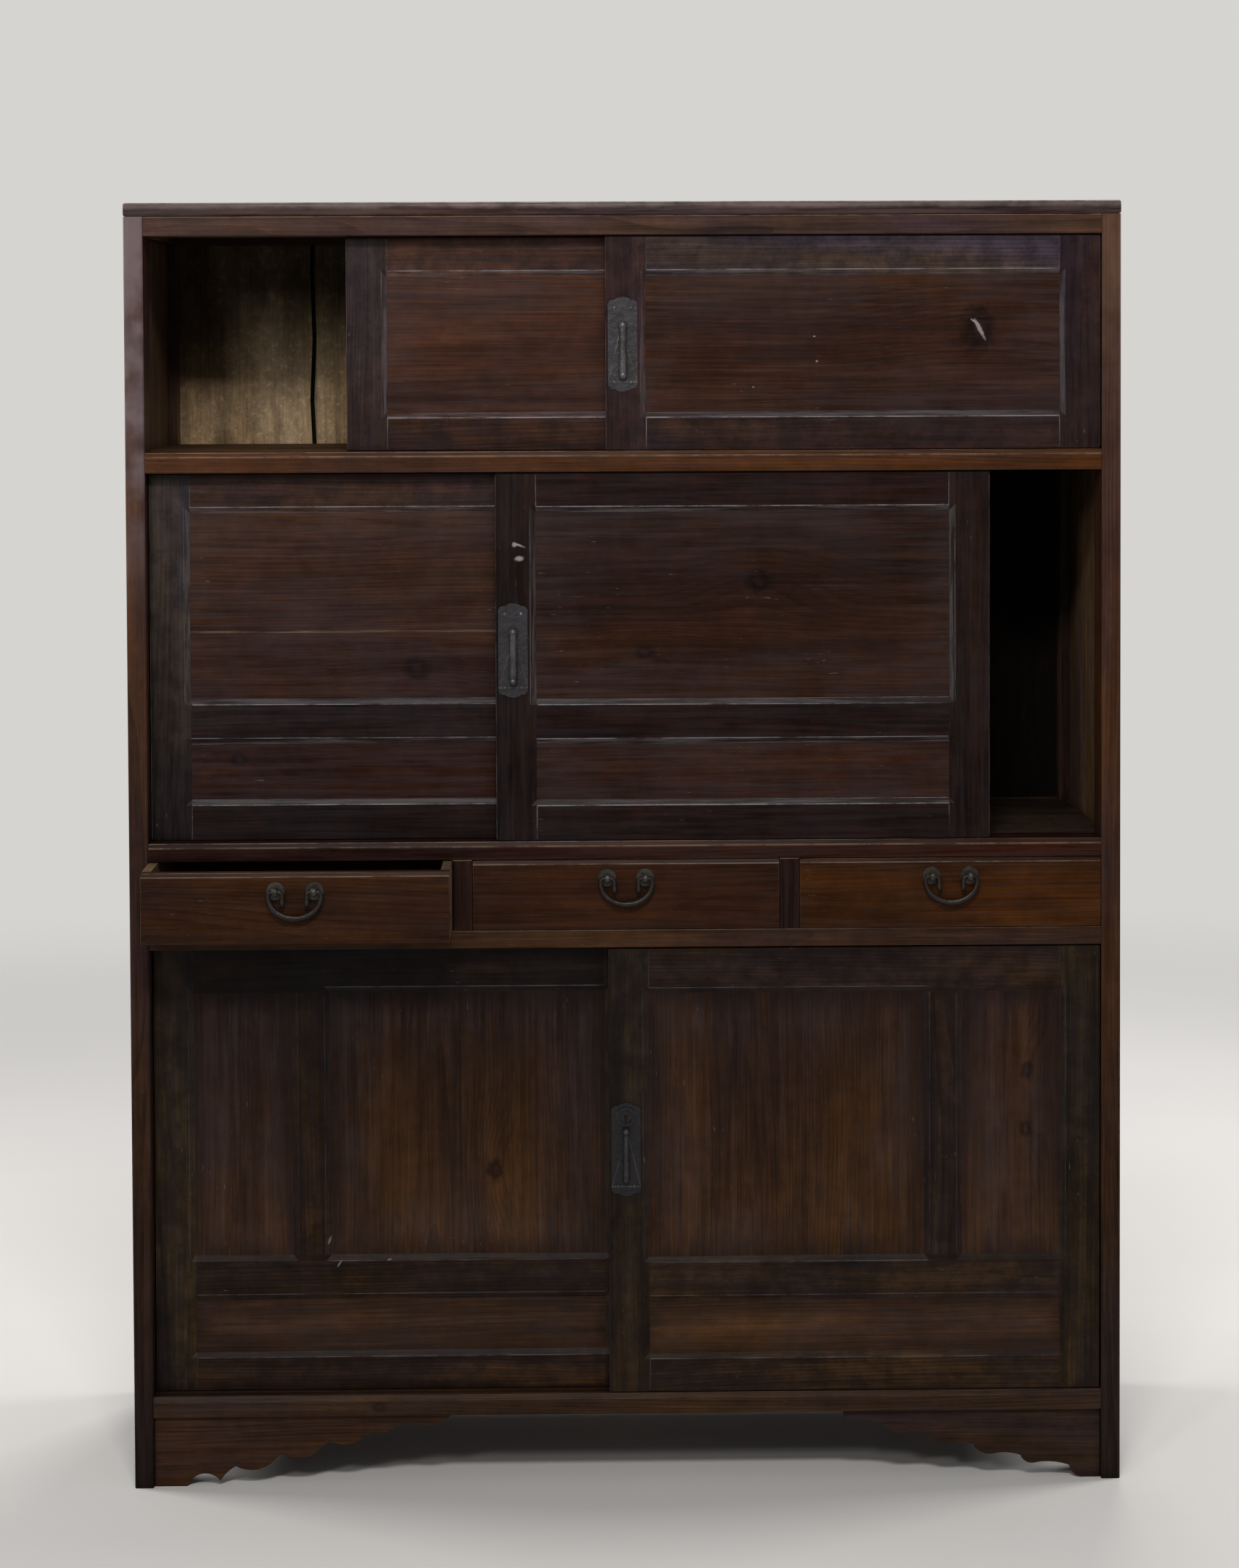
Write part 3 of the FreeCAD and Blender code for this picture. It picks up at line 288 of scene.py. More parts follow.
# Knots: place across and up, half width and half height, and whether the grain is upright
panel_knots = (
    (0.4287, 1.4055, 0.0180, 0.0270, False),
    (0.1624, 1.1005, 0.0150, 0.0120, False),
    (0.0235, 1.0148, 0.0110, 0.0080, False),
    (-0.2530, 0.9945, 0.0160, 0.0140, False),
    (-0.4690, 0.8860, 0.0100, 0.0080, False),
    (0.4877, 0.5017, 0.0080, 0.0110, True),
    (0.4857, 0.4295, 0.0070, 0.0095, True),
    (-0.1607, 0.3797, 0.0090, 0.0130, True),
)
rail_knots = ((-0.3018, 0.0965, 0.0090, 0.0060, False),)

# Pale marks in the lacquer: place across and up, half length, half width and lean in degrees
panel_marks = (
    (0.4300, 1.4040, 0.0130, 0.0022, -62),
    (0.4240, 1.4130, 0.0060, 0.0012, -35),
    (0.2300, 1.3960, 0.0014, 0.0009, 0),
    (0.2330, 1.3660, 0.0016, 0.0011, 20),
    (0.1560, 1.3350, 0.0012, 0.0008, 0),
)
frame_marks = (
    (-0.1278, 1.1456, 0.0075, 0.0014, -20),
    (-0.1326, 1.1462, 0.0030, 0.0026, 0),
    (-0.1278, 1.1292, 0.0055, 0.0030, 0),
    (-0.3635, 0.2950, 0.0050, 0.0015, 70),
    (-0.3520, 0.2660, 0.0055, 0.0012, 55),
    (-0.2910, 0.2710, 0.0030, 0.0012, 20),
)

# Noise along the grain of a board: stretch along and across it, detail and roughness
grain_noises = {
    "sway": (1.1, 7.0, 2.0, 0.5),
    "rise": (0.8, 3.0, 1.0, 0.5),
    "ring_strength": (1.5, 20.0, 2.0, 0.5),
    "fine": (10.0, 760.0, 2.0, 0.6),
    "streak": (2.2, 130.0, 3.0, 0.6),
    "blotch": (2.5, 20.0, 4.0, 0.65),
    "cloud": (16.0, 38.0, 4.0, 0.7),
    "patch": (3.0, 15.0, 4.0, 0.6),
    "drift": (7.0, 150.0, 4.0, 0.7),
    "nick": (70.0, 420.0, 2.0, 0.5),
    "ripple": (9.0, 34.0, 1.0, 0.5),
}

# Noise that takes no notice of the grain: scale, detail and roughness
free_noises = {
    "wobble": (90.0, 4.0, 0.7),
    "mottle": (42.0, 4.0, 0.7),
    "fleck": (120.0, 4.0, 0.7),
    "speck": (330.0, 3.0, 0.7),
    "haze": (8.0, 5.0, 0.65),
    "scuff": (22.0, 5.0, 0.7),
    "nicked_area": (9.0, 2.0, 0.5),
    "rub_line": (30.0, 4.0, 0.7),
    "rub": (7.0, 4.0, 0.65),
    "hammered": (210.0, 2.0, 0.5),
    "pits": (900.0, 4.0, 0.7),
    "browned": (60.0, 4.0, 0.6),
    "paper": (1.3, 4.0, 0.5),
}

# Where a noise begins and ends to count
noise_spans = {
    "usual": (0.25, 0.75),
    "ring_strength": (0.3, 0.7),
    "mottle": (0.34, 0.66),
    "fleck": (0.50, 0.70),
    "patch": (0.34, 0.66),
    "speck": (0.56, 0.66),
    "dust_and_sheen": (0.52, 0.80),
    "haze": (0.36, 0.64),
    "dirt": (0.30, 0.60),
    "scuff": (0.34, 0.60),
    "nick": (0.70, 0.78),
    "nicked_area": (0.52, 0.66),
    "bevel": (0.42, 0.62),
    "rub": (0.36, 0.56),
    "pits": (0.3, 0.7),
    "browned": (0.42, 0.66),
    "brightened": (0.35, 0.6),
    "paper": (0.3, 0.7),
}

# Part of a face's normal at which it begins and ends to count as facing that way
facing_front = (-0.1, -0.5)
facing_rear = (0.0, 0.5)
facing_nailer = (0.5, 0.9)
facing_worn_and_highlit = (-0.1, 0.5)
facing_dust = (0.25, 0.95)

# Growth rings: width of one, how late in it the wood darkens, how faint it may be, and how far the rings
# sway sideways and in depth
ring_width = 0.0046
ring_power = 2.2
ring_least = 0.3
ring_sway = 0.070
ring_rise = 0.080

# Knots and marks: how ragged they are, and how much less a knot pushes the rings along its grain than
# across it. Its push, rim and heart and a mark's stroke each have the distance where they begin, the one
# where they are full, and their strengths there.
wobble_size = 1.6
knot_grain_share = 0.4
knot_push = (5.0, 0.0, 0.0, 3.6)
knot_rim = (1.45, 0.55, 0.0, 0.85)
knot_heart = (0.60, 0.10, 0.0, 0.75)
knot_rim_tint = (0.22, 0.17, 0.16)
knot_heart_tint = (0.95, 0.90, 1.0)
mark_stroke = (1.3, 0.5, 0.0, 0.9)

# Strengths, reaches and colours of the layers on the wood. A border has its reach, and then how near it is
# full; strengths are the least and the most, or a factor and what is added to it.
cloud_share = 0.7
painted_top_shade_unevenness = 0.10
speck_tint = (0.34, 0.28, 0.22)
nail_colour = (46, 36, 30)
nail_stain = (nail_radius * 4.5, nail_radius, 0.0, 0.55)
nail_stain_tint = (0.42, 0.26, 0.18)
nail_rim = (nail_radius * 1.1, nail_radius * 0.9)
border_full = 0.006
dust_border = 0.10
dust_border_share = 0.16
dust_lying_share = 0.9
haze_border = 0.14
dirt_border = (0.045, 0.004)
dirt_strengths = (0.3, 0.9)
seam_border = (0.0045, 0.0012)
# Painted shade in hollows: where its darkening begins and is full, its strength and samples, and the tint it
# shares with dirt
hollow_span = (0.80, 0.25)
hollow_strength = 0.85
hollow_samples = 6
shade_and_dirt_tint = (0.30, 0.26, 0.25)
# Near-black painted shade in the open joint of the back boards
joint_shade_colour = (9, 7, 5)
least_handled = 0.12
least_scuff = 0.12
scuff_by_height = (0.8, 0.2)
full_edge = 0.8
nick_share = 0.3
# Bare colour on the bevels: wear, partly a painted highlight
bevel_wear_and_highlight = (0.02, 0.18)
rub_unevenness = 0.006
least_rub = 0.15
mark_by_height = (0.5, 0.4)
sheen_spread = 0.16
dust_roughness = 0.3
wood_relief = {"fine": 0.5, "streak": 0.6, "ring": -0.45, "ripple": 2.0}
wood_relief_depth = 0.00035

# Iron: colour, brown and rubbed edge as sRGB, and roughness
irons = {
    "plate_iron": ((45, 44, 48), (36, 32, 34), (122, 118, 116), 0.44),
    "bar_iron": ((82, 80, 82), (58, 52, 50), (150, 146, 144), 0.34),
    "bail_iron": ((45, 38, 33), (34, 24, 18), (140, 128, 116), 0.34),
    "rosette_iron": ((76, 73, 66), (52, 44, 36), (140, 136, 128), 0.42),
}
# Painted shade in the iron's hollows: its colour and how far it reaches
iron_hollow_shade = (14, 11, 10)
iron_hollow_shade_reach = 0.006
iron_metallic = 0.55
iron_pit_strengths = (0.72, 1.3)
iron_height_strengths = (0.40, 1.05)
iron_bright_strengths = (0.9, 0.3)
iron_sheen_spread = (-0.10, 0.14)
iron_pit_depth = 0.25
iron_relief_depth = 0.0006


def linear(colour):
    """An sRGB colour from 0 to 255 as linear light."""
    values = [channel / 255 for channel in colour]
    return tuple(v / 12.92 if v <= 0.04045 else ((v + 0.055) / 1.055) ** 2.4 for v in values)


def paint(colour):
    """An sRGB colour as a shader takes it."""
    return (*linear(colour), 1)


class Net:
    """The nodes of one material. Each call adds a node and gives one of its outputs."""

    def __init__(self, name):
        self.material = bpy.data.materials.new(name)
        self.material.use_nodes = True
        self.tree = self.material.node_tree
        self.tree.nodes.clear()
        self.local = self.add("ShaderNodeTexCoord", {}, "Object")

    def add(self, kind, inputs, output=0, **settings):
        node = self.tree.nodes.new(kind)
        for key, value in settings.items():
            setattr(node, key, value)
        for key, value in inputs.items():
            if isinstance(value, bpy.types.NodeSocket):
                self.tree.links.new(value, node.inputs[key])
            else:
                node.inputs[key].default_value = value
        return node.outputs[output]

    def math(self, operation, *values):
        return self.add("ShaderNodeMath", dict(enumerate(values)), operation=operation)

    def folded(self, operation, value, *others):
        """One value from several, with the operation between each and the next."""
        for other in others:
            value = self.math(operation, value, other)
        return value

    def product(self, *values):
        return self.folded("MULTIPLY", *values)

    def largest(self, *values):
        return self.folded("MAXIMUM", *values)

    def swing(self, value, size, middle=0.0):
        """A value from nought to one, moved to swing about a middle."""
        return self.math("MULTIPLY_ADD", value, size, middle - size / 2)

    def length(self, *sides):
        """The length of the diagonal over two sides."""
        squares = [self.math("MULTIPLY", side, side) for side in sides]
        return self.math("SQRT", self.math("ADD", *squares))

    def attribute(self, name, output="Fac"):
        return self.add("ShaderNodeAttribute", {}, output, attribute_name=name)

    def part(self, vector, axis):
        """The part of a vector along an axis, which is given as its letter."""
        return self.add("ShaderNodeSeparateXYZ", {0: vector}, axis)

    def moved(self, vector, place):
        return self.add("ShaderNodeVectorMath", {0: vector, 1: place}, operation="SUBTRACT")

    def stretched(self, vector, factors):
        return self.add("ShaderNodeVectorMath", {0: vector, 1: factors}, operation="MULTIPLY")

    def tinted(self, colour, factor):
        return self.add("ShaderNodeVectorMath", {0: colour, 3: factor}, operation="SCALE")

    def distance(self, vector):
        return self.add("ShaderNodeVectorMath", {0: vector}, "Value", operation="LENGTH")

    def along(self, vector, direction):
        return self.add("ShaderNodeVectorMath", {0: vector, 1: direction}, "Value", operation="DOT_PRODUCT")

    def noise(self, vector, scale, detail, roughness):
        inputs = {"Vector": vector, "Scale": scale, "Detail": detail, "Roughness": roughness}
        return self.add("ShaderNodeTexNoise", inputs)

    def free(self, kind):
        """Noise that takes no notice of the grain."""
        return self.noise(self.local, *free_noises[kind])

    def smooth(self, value, low, high, start=0.0, end=1.0):
        inputs = {"Value": value, "From Min": low, "From Max": high, "To Min": start, "To Max": end}
        return self.add("ShaderNodeMapRange", inputs, interpolation_type="SMOOTHSTEP")

    def span(self, kind, value, start=0.0, end=1.0):
        """A noise as a strength, from its start to its end over the span of its kind."""
        return self.smooth(value, *noise_spans[kind], start, end)

    def mixed(self, factor, first, second):
        """Two colours mixed. The node has its sockets for colours after those for numbers and vectors."""
        inputs = {0: factor, 6: first, 7: second}
        return self.add("ShaderNodeMix", inputs, 2, data_type="RGBA")

    def hollows(self, reach):
        """How much a place lies in a corner or a narrow gap."""
        inputs = {"Distance": reach}
        open_share = self.add("ShaderNodeAmbientOcclusion", inputs, "AO", samples=hollow_samples)
        return self.smooth(open_share, *hollow_span, 0.0, hollow_strength)

    def bump(self, height, distance):
        return self.add("ShaderNodeBump", {"Height": height, "Distance": distance, "Strength": 1.0})

    def finished(self, shader):
        """The material, with this shader on its surface."""
        output = self.tree.nodes.new("ShaderNodeOutputMaterial")
        self.tree.links.new(shader, output.inputs["Surface"])
        return self.material

    def surface(self, inputs):
        return self.finished(self.add("ShaderNodeBsdfPrincipled", inputs))


class Wood(Net):
    """Wood as a board's grain, with the layers of a long life laid over it one by one, painted light and
    shade among them.
    """

    def __init__(self, name, look):
        super().__init__(name)
        self.look = look
        self.place = self.attribute("place", "Vector")
        self.inset = self.attribute("inset", "Vector")
        self.half = self.attribute("half", "Vector")
        self.normal = self.add("ShaderNodeNewGeometry", {}, "Normal")
        self.up = self.part(self.local, "Z")
        self.upward = self.part(self.normal, "Z")
        self.rearward = self.part(self.normal, "Y")
        self.room = self.room_to_border()
        self.wobble = self.swing(self.free("wobble"), wobble_size)
        self.fine = self.grain("fine")
        self.streak = self.grain("streak")
        self.cloud = self.grain("cloud")
        self.drift = self.grain("drift")
        self.handled = self.smooth(self.up, *handled_heights, least_handled, 1.0)
        self.front = self.smooth(self.rearward, *facing_front)
        self.dust_and_sheen = self.dust_and_sheen_layer()
        self.tone = self.mixed(self.attribute("raw"), self.attribute("tone", "Color"), paint(raw_tone))

    def grain(self, kind):
        """Noise stretched along the grain."""
        along, across, detail, roughness = grain_noises[kind]
        return self.noise(self.stretched(self.place, (along, across, across)), 1.0, detail, roughness)

    def room_to_border(self):
        """How far a place is from the nearest edge or end of its board."""
        inset = self.add("ShaderNodeVectorMath", {0: self.inset}, operation="ABSOLUTE")
        room = self.moved(self.half, inset)
        return self.math("MINIMUM", self.part(room, "X"), self.part(room, "Y"))

    def near_border(self, reach, full=border_full):
        """One at a board's edges and ends, fading out over a reach towards its middle."""
        return self.smooth(self.room, reach, full)

    def knot(self, knot_place):
        """How far a knot pushes the growth rings aside, its dark rim and its heart."""
        x, z, half_width, half_height, upright = knot_place
        moved = self.moved(self.local, (x, 0, z))
        away = self.distance(self.stretched(moved, (1 / half_width, 0.0, 1 / half_height)))
        grain = (1.0, 0.0, knot_grain_share) if upright else (knot_grain_share, 0.0, 1.0)
        round_size = min(half_width, half_height)
        aside = self.stretched(moved, tuple(part / round_size for part in grain))
        push = self.smooth(self.distance(aside), *knot_push)
        ragged = self.math("ADD", away, self.wobble)
        return push, self.smooth(ragged, *knot_rim), self.smooth(ragged, *knot_heart)

    def growth_rings(self, knots):
        """Dark late wood along the growth rings of a log, bent round its knots, and the knots' parts."""
        across = self.math("ADD", self.part(self.place, "Y"), self.swing(self.grain("sway"), ring_sway))
        depth = self.math("ADD", self.part(self.place, "Z"), self.swing(self.grain("rise"), ring_rise))
        count = self.math("DIVIDE", self.length(across, depth), ring_width)
        spots = []
        for knot_place in knots:
            push, rim, heart = self.knot(knot_place)
            count = self.math("ADD", count, push)
            spots.append((rim, heart))
        ring = self.math("POWER", self.math("FRACT", count), ring_power)
        strength = self.span("ring_strength", self.grain("ring_strength"), ring_least, 1.0)
        return self.product(ring, strength), spots

    def shading(self, ring):
        """The light and dark of fibres, blotches, mottling, rings, flecks and painted shade at the top, as a
        factor.
        """
        look = self.look
        uneven = (
            ("usual", self.fine, look["fibres"]),
            ("usual", self.streak, look["fibres"]),
            ("usual", self.grain("blotch"), look["blotches"]),
            ("usual", self.cloud, look["blotches"] * cloud_share),
            ("mottle", self.free("mottle"), look["mottle"]),
        )
        factors = [self.span(kind, value, 1 - amount, 1 + amount) for kind, value, amount in uneven]
        factors.append(self.smooth(ring, 0.0, 1.0, 1 + look["rings"] / 2, 1 - look["rings"]))
        if look["flecks"]:
            factors.append(self.span("fleck", self.free("fleck"), 1.0, 1 + look["flecks"]))
        # Painted shade at the top of the inner faces; faces that look rearward keep their tone
        if look["painted_top_shade"] < 1:
            ragged = self.math("MULTIPLY_ADD", self.cloud, painted_top_shade_unevenness, self.up)
            painted_top_shade = self.smooth(ragged, *painted_top_shade_heights, 1.0, look["painted_top_shade"])
            factors.append(self.largest(painted_top_shade, self.smooth(self.rearward, *facing_rear)))
        return self.product(*factors)

    def coloured(self, ring):
        """The board's own tone with its grain, warmer in some patches and cooler in others."""
        colour = self.tinted(self.tone, self.shading(ring))
        warm, cool = (self.stretched(colour, tint) for tint in self.look["tints"])
        return self.mixed(self.span("patch", self.grain("patch")), cool, warm)

    def spotted(self, colour, spots):
        """Knots, as rims and hearts, and small dark specks."""
        for rim, heart in spots:
            colour = self.mixed(rim, colour, self.stretched(colour, knot_rim_tint))
            colour = self.mixed(heart, colour, self.stretched(self.tone, knot_heart_tint))
        if self.look["specks"]:
            speck = self.span("speck", self.free("speck"), 0.0, self.look["specks"])
            colour = self.mixed(speck, colour, self.stretched(colour, speck_tint))
        return colour

    def nailed(self, colour, heights):
        """Heads of nails with stained wood round them, near both edges of each board, at these heights."""
        if not heights:
            return colour
        row = self.math("SUBTRACT", self.part(self.half, "Y"), nail_inset)
        across = self.math("SUBTRACT", self.math("ABSOLUTE", self.part(self.inset, "Y")), row)
        rows = [self.math("ABSOLUTE", self.math("SUBTRACT", self.up, height)) for height in heights]
        away = self.length(across, self.folded("MINIMUM", *rows))
        facing = self.smooth(self.rearward, *facing_nailer)
        stain = self.product(facing, self.smooth(away, *nail_stain))
        colour = self.mixed(stain, colour, self.stretched(colour, nail_stain_tint))
        return self.mixed(self.product(facing, self.smooth(away, *nail_rim)), colour, paint(nail_colour))

    def dust_and_sheen_layer(self):
        """Dust in the grain, partly a painted sheen, more of it near a board's border and on what faces up.
        """
        dust_and_sheen_amount = self.look["dust_and_sheen_amount"]
        settled = self.math("MULTIPLY_ADD", self.near_border(dust_border), dust_border_share, self.drift)
        lying = self.smooth(self.upward, *facing_dust, 0.0, dust_and_sheen_amount * dust_lying_share)
        return self.math("ADD", self.span("dust_and_sheen", settled, 0.0, dust_and_sheen_amount), lying)

    def dusted_and_sheened(self, colour):
        """The film of dust and painted sheen, and a haze over the lacquer near a board's border."""
        colour = self.mixed(self.dust_and_sheen, colour, paint(self.look["dust_and_sheen"]))
        if self.look["haze"]:
            haze = self.span("haze", self.free("haze"), 0.0, self.look["haze"])
            haze = self.product(haze, self.near_border(haze_border))
            colour = self.mixed(haze, colour, paint(haze_colour))
        return colour

    def shaded_and_soiled(self, colour):
        """Painted shade in hollows, dirt at the borders of hazy boards and in seams, and painted shade in
        the open joint.
        """
        # Painted shade in hollows, with the dirt at borders and seams
        shade_and_dirt = [self.hollows(self.look["hollow_shade_reach"])]
        if self.look["haze"]:
            dirt = self.span("dirt", self.drift, *dirt_strengths)
            unhandled = self.math("SUBTRACT", 1.0, self.handled)
            shade_and_dirt.append(self.product(self.near_border(*dirt_border), dirt, unhandled))
        if self.look["seams"]:
            shade_and_dirt.append(self.product(self.near_border(*seam_border), self.look["seams"]))
        colour = self.mixed(self.largest(*shade_and_dirt), colour, self.stretched(colour, shade_and_dirt_tint))
        return self.mixed(self.attribute("joint_shade"), colour, paint(joint_shade_colour))

    def worn_and_highlit(self, colour):
        """Bare wood on arrises, in nicks along the grain, on bevels and where a front is rubbed; on arrises
        and bevels it is partly a painted highlight, and on the upper left post a painted sheen.
        """
        look = self.look
        scuffed = self.span("scuff", self.free("scuff"), least_scuff, 1.0)
        # Arrises that face up take more: partly wear, partly a painted highlight from above
        reached = self.smooth(self.upward, *facing_worn_and_highlit, look["worn_and_highlit_below"] * look["worn_and_highlit"], look["worn_and_highlit"])
        by_height = self.math("MULTIPLY_ADD", self.handled, *scuff_by_height)
        arris_share = self.smooth(self.attribute("edge"), 0.0, full_edge)
        arrises = self.product(arris_share, scuffed, by_height, reached)
        nicked = self.span("nicked_area", self.free("nicked_area"), 0.0, look["worn_and_highlit"] * nick_share)
        nicks = self.product(self.span("nick", self.grain("nick")), nicked)
        on_bevels = self.span("bevel", self.drift, *bevel_wear_and_highlight)
        wear_and_highlight = [arrises, nicks, self.product(self.attribute("bevel"), on_bevels, self.handled)]
        # A front paled above given heights: rubbed wear, and on the upper left post a painted sheen
        if look["paled"]:
            line = self.math("ADD", self.up, self.swing(self.free("rub_line"), rub_unevenness))
            above = self.smooth(line, *look["paled_heights"], 0.0, look["paled"])
            wear_and_highlight.append(self.product(above, self.span("rub", self.free("rub"), least_rub, 1.0), self.front))
        return self.mixed(self.largest(*wear_and_highlight), colour, paint(look["bare_and_highlight"]))

    def marked(self, colour, marks):
        """Pale rubbed or scratched marks on front faces, as ragged strokes."""
        for x, z, half_length, half_width, lean in marks:
            sin, cos = math.sin(math.radians(lean)), math.cos(math.radians(lean))
            moved = self.moved(self.local, (x, 0, z))
            along = self.along(moved, (cos / half_length, 0, sin / half_length))
            across = self.along(moved, (-sin / half_width, 0, cos / half_width))
            away = self.math("ADD", self.length(along, across), self.wobble)
            by_height = self.math("MULTIPLY_ADD", self.handled, *mark_by_height)
            stroke = self.product(self.front, self.smooth(away, *mark_stroke), by_height)
            colour = self.mixed(stroke, colour, paint(mark_colour))
        return colour

    def lacquered(self, colour, ring):
        """The surface of the finished wood, duller where dust lies, with the relief of its grain."""
        sheen = self.swing(self.fine, sheen_spread, self.look["roughness"])
        sheen = self.math("ADD", sheen, self.product(self.dust_and_sheen, dust_roughness))
        values = {"fine": self.fine, "streak": self.streak, "ring": ring, "ripple": self.grain("ripple")}
        parts = [self.product(values[name], share) for name, share in wood_relief.items()]
        return self.surface({
            "Base Color": colour, "Roughness": sheen, "Specular IOR Level": self.look["gloss"],
            "Normal": self.bump(self.folded("ADD", *parts), wood_relief_depth),
        })


def wood(name, look, knots=(), marks=(), nail_heights=()):
    """A wood's material, with its layers in the order in which they came: grain, nails, dust and painted
    sheen, painted shade and dirt, wear and painted highlights.
    """
    net = Wood(name, look)
    ring, spots = net.growth_rings(knots)
    colour = net.spotted(net.coloured(ring), spots)
    colour = net.nailed(colour, nail_heights)
    colour = net.worn_and_highlit(net.shaded_and_soiled(net.dusted_and_sheened(colour)))
    colour = net.marked(colour, marks)
    return net.lacquered(colour, ring)


def iron(name):
    """Forged and blackened iron: hammered, pitted, browned in places and rubbed bright on its edges, with
    painted shade in its hollows and towards the bottom.
    """
    colour, brown, paled, roughness = irons[name]
    net = Net(name)
    pits = net.free("pits")
    cloud = net.free("browned")
    base = net.mixed(net.span("browned", cloud), paint(colour), paint(brown))
    base = net.tinted(base, net.span("pits", pits, *iron_pit_strengths))
    # Darker towards the bottom: painted shade
    base = net.tinted(base, net.smooth(net.part(net.local, "Z"), *iron_heights, *iron_height_strengths))
    # Painted shade in hollows
    base = net.mixed(net.hollows(iron_hollow_shade_reach), base, paint(iron_hollow_shade))
    bright = net.product(net.attribute("edge"), net.span("brightened", cloud, *iron_bright_strengths))
    base = net.mixed(bright, base, paint(paled))
    least, most = (roughness + part for part in iron_sheen_spread)
    height = net.math("ADD", net.free("hammered"), net.product(pits, iron_pit_depth))
    return net.surface({
        "Base Color": base, "Metallic": iron_metallic, "Roughness": net.span("usual", pits, least, most),
        "Normal": net.bump(height, iron_relief_depth),
    })


def islands(bm):
    """The separate boards of a mesh, as lists of vertices."""
    seen = set()
    groups = []
    for start in bm.verts:
        if start in seen:
            continue
        group = [start]
        seen.add(start)
        for vertex in group:
            for link in vertex.link_edges:
                other = link.other_vert(vertex)
                if other not in seen:
                    seen.add(other)
                    group.append(other)
        groups.append(group)
    return groups


def round_edges(bm, edges, width, clamp):
    """Rounds edges, and gives the vertices along the middle of each rounding."""
    made = bmesh.ops.bevel(
        bm, geom=edges, offset=width, offset_type="OFFSET", segments=arris_steps, profile=0.5,
        affect="EDGES", clamp_overlap=clamp,
    )
    strip = set(made["faces"])
    return [vertex for vertex in bm.verts
            if vertex.link_faces and all(face in strip for face in vertex.link_faces)]


def ease_arrises(bm, width):
    """Rounds the long outer arrises, and marks the middle of each for wear with a painted highlight, the
    upright ones less.
    """
    edge_layer = bm.verts.layers.float.new("edge")
    chosen = []
    for edge in bm.edges:
        if len(edge.link_faces) != 2 or not edge.is_convex:
            continue
        length = edge.calc_length()
        if length < arris_min_length or edge.calc_face_angle() < arris_angle:
            continue
        if min(face.calc_area() / length for face in edge.link_faces) < arris_min_face:
            continue
        chosen.append(edge)
    for vertex in round_edges(bm, chosen, width, False):
        length, rise = max((edge.calc_length(), abs(edge.verts[0].co[2] - edge.verts[1].co[2]))
                           for edge in vertex.link_edges)
        vertex[edge_layer] = standing_wear_and_highlight if rise > length / 2 else 1.0


def mark_bevels(bm, slope_low, slope_high, min_area, share):
    """Marks the bevels of a door, which hands have rubbed and which carry a painted highlight."""
    bevel_layer = bm.faces.layers.float.new("bevel")
    for face in bm.faces:
        if slope_low < -face.normal[1] < slope_high and face.calc_area() > min_area:
            face[bevel_layer] = share


def lay_grain(bm, node, upright_panels):
    """Gives each board its own grain: along it, across it and through it, with its own place in a log."""
    place_layer = bm.verts.layers.float_vector.new("place")
    tone_layer = bm.verts.layers.float_vector.new("tone")
    inset_layer = bm.verts.layers.float_vector.new("inset")
    half_layer = bm.verts.layers.float_vector.new("half")
    low_tone, high_tone = (Vector(linear(tone)) for tone in tones[node])
    axis = 0 if node in tones_across else 2
    low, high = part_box(node)
    for number, group in enumerate(islands(bm)):
        chance = random.Random(f"{node} {number}")
        corners = [Vector(min(v.co[i] for v in group) for i in range(3)),
                   Vector(max(v.co[i] for v in group) for i in range(3))]
        size = corners[1] - corners[0]
        middle = (corners[0] + corners[1]) / 2
        order = sorted(range(3), key=lambda i: -size[i])
        if upright_panels and size[2] > upright_share * size[0]:
            order = [2, 0, 1]
        offset = Vector([chance.uniform(*reach) for reach in (log_along, log_aside, log_out)])
        shade = chance.uniform(*tone_spread.get(node, usual_spread))
        half = Vector((size[order[0]] / 2, size[order[1]] / 2, 0.0))
        for vertex in group:
            here = vertex.co - middle
            inset = Vector(here[i] for i in order)
            vertex[place_layer] = inset + offset
            vertex[inset_layer] = inset
            vertex[half_layer] = half
            share = (vertex.co[axis] - low[axis]) / (high[axis] - low[axis])
            # Painted light and shade across the back boards' inner faces
            if node in tones_across:
                share = min(max((share - across_start) / (across_end - across_start), 0), 1)
            tone = low_tone.lerp(high_tone, share)
            if node in tones_across and here[1] > 0:
                tone = Vector(linear(rear_tone))
            vertex[tone_layer] = tone * shade


def blacken_joint(bm, node):
    """Painted shade in the open joint of the back boards, where their rear halves show."""
    joint_shade_layer = bm.faces.layers.float.new("joint_shade")
    low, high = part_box(node)
    middle = (low[1] + high[1]) / 2
    for face in bm.faces:
        in_joint = abs(face.calc_center_median()[1] - middle) < joint_plane_reach
        if in_joint and face.normal[1] < -square_on:
            face[joint_shade_layer] = 1.0


def rail_heights():
    """The heights of the rear rails' middles, where the back boards are nailed."""
    bm = clean_copy("rear_rails")
    heights = [sum(vertex.co[2] for vertex in group) / len(group) for group in islands(bm)]
    bm.free()
    return sorted(heights)


def bare_inside(bm):
    """Wood left without lacquer on the faces that look into the cabinet from its sides."""
    raw_layer = bm.faces.layers.float.new("raw")
    for face in bm.faces:
        if face.normal[0] * face.calc_center_median()[0] < 0 and abs(face.normal[0]) > sideways:
            face[raw_layer] = 1.0


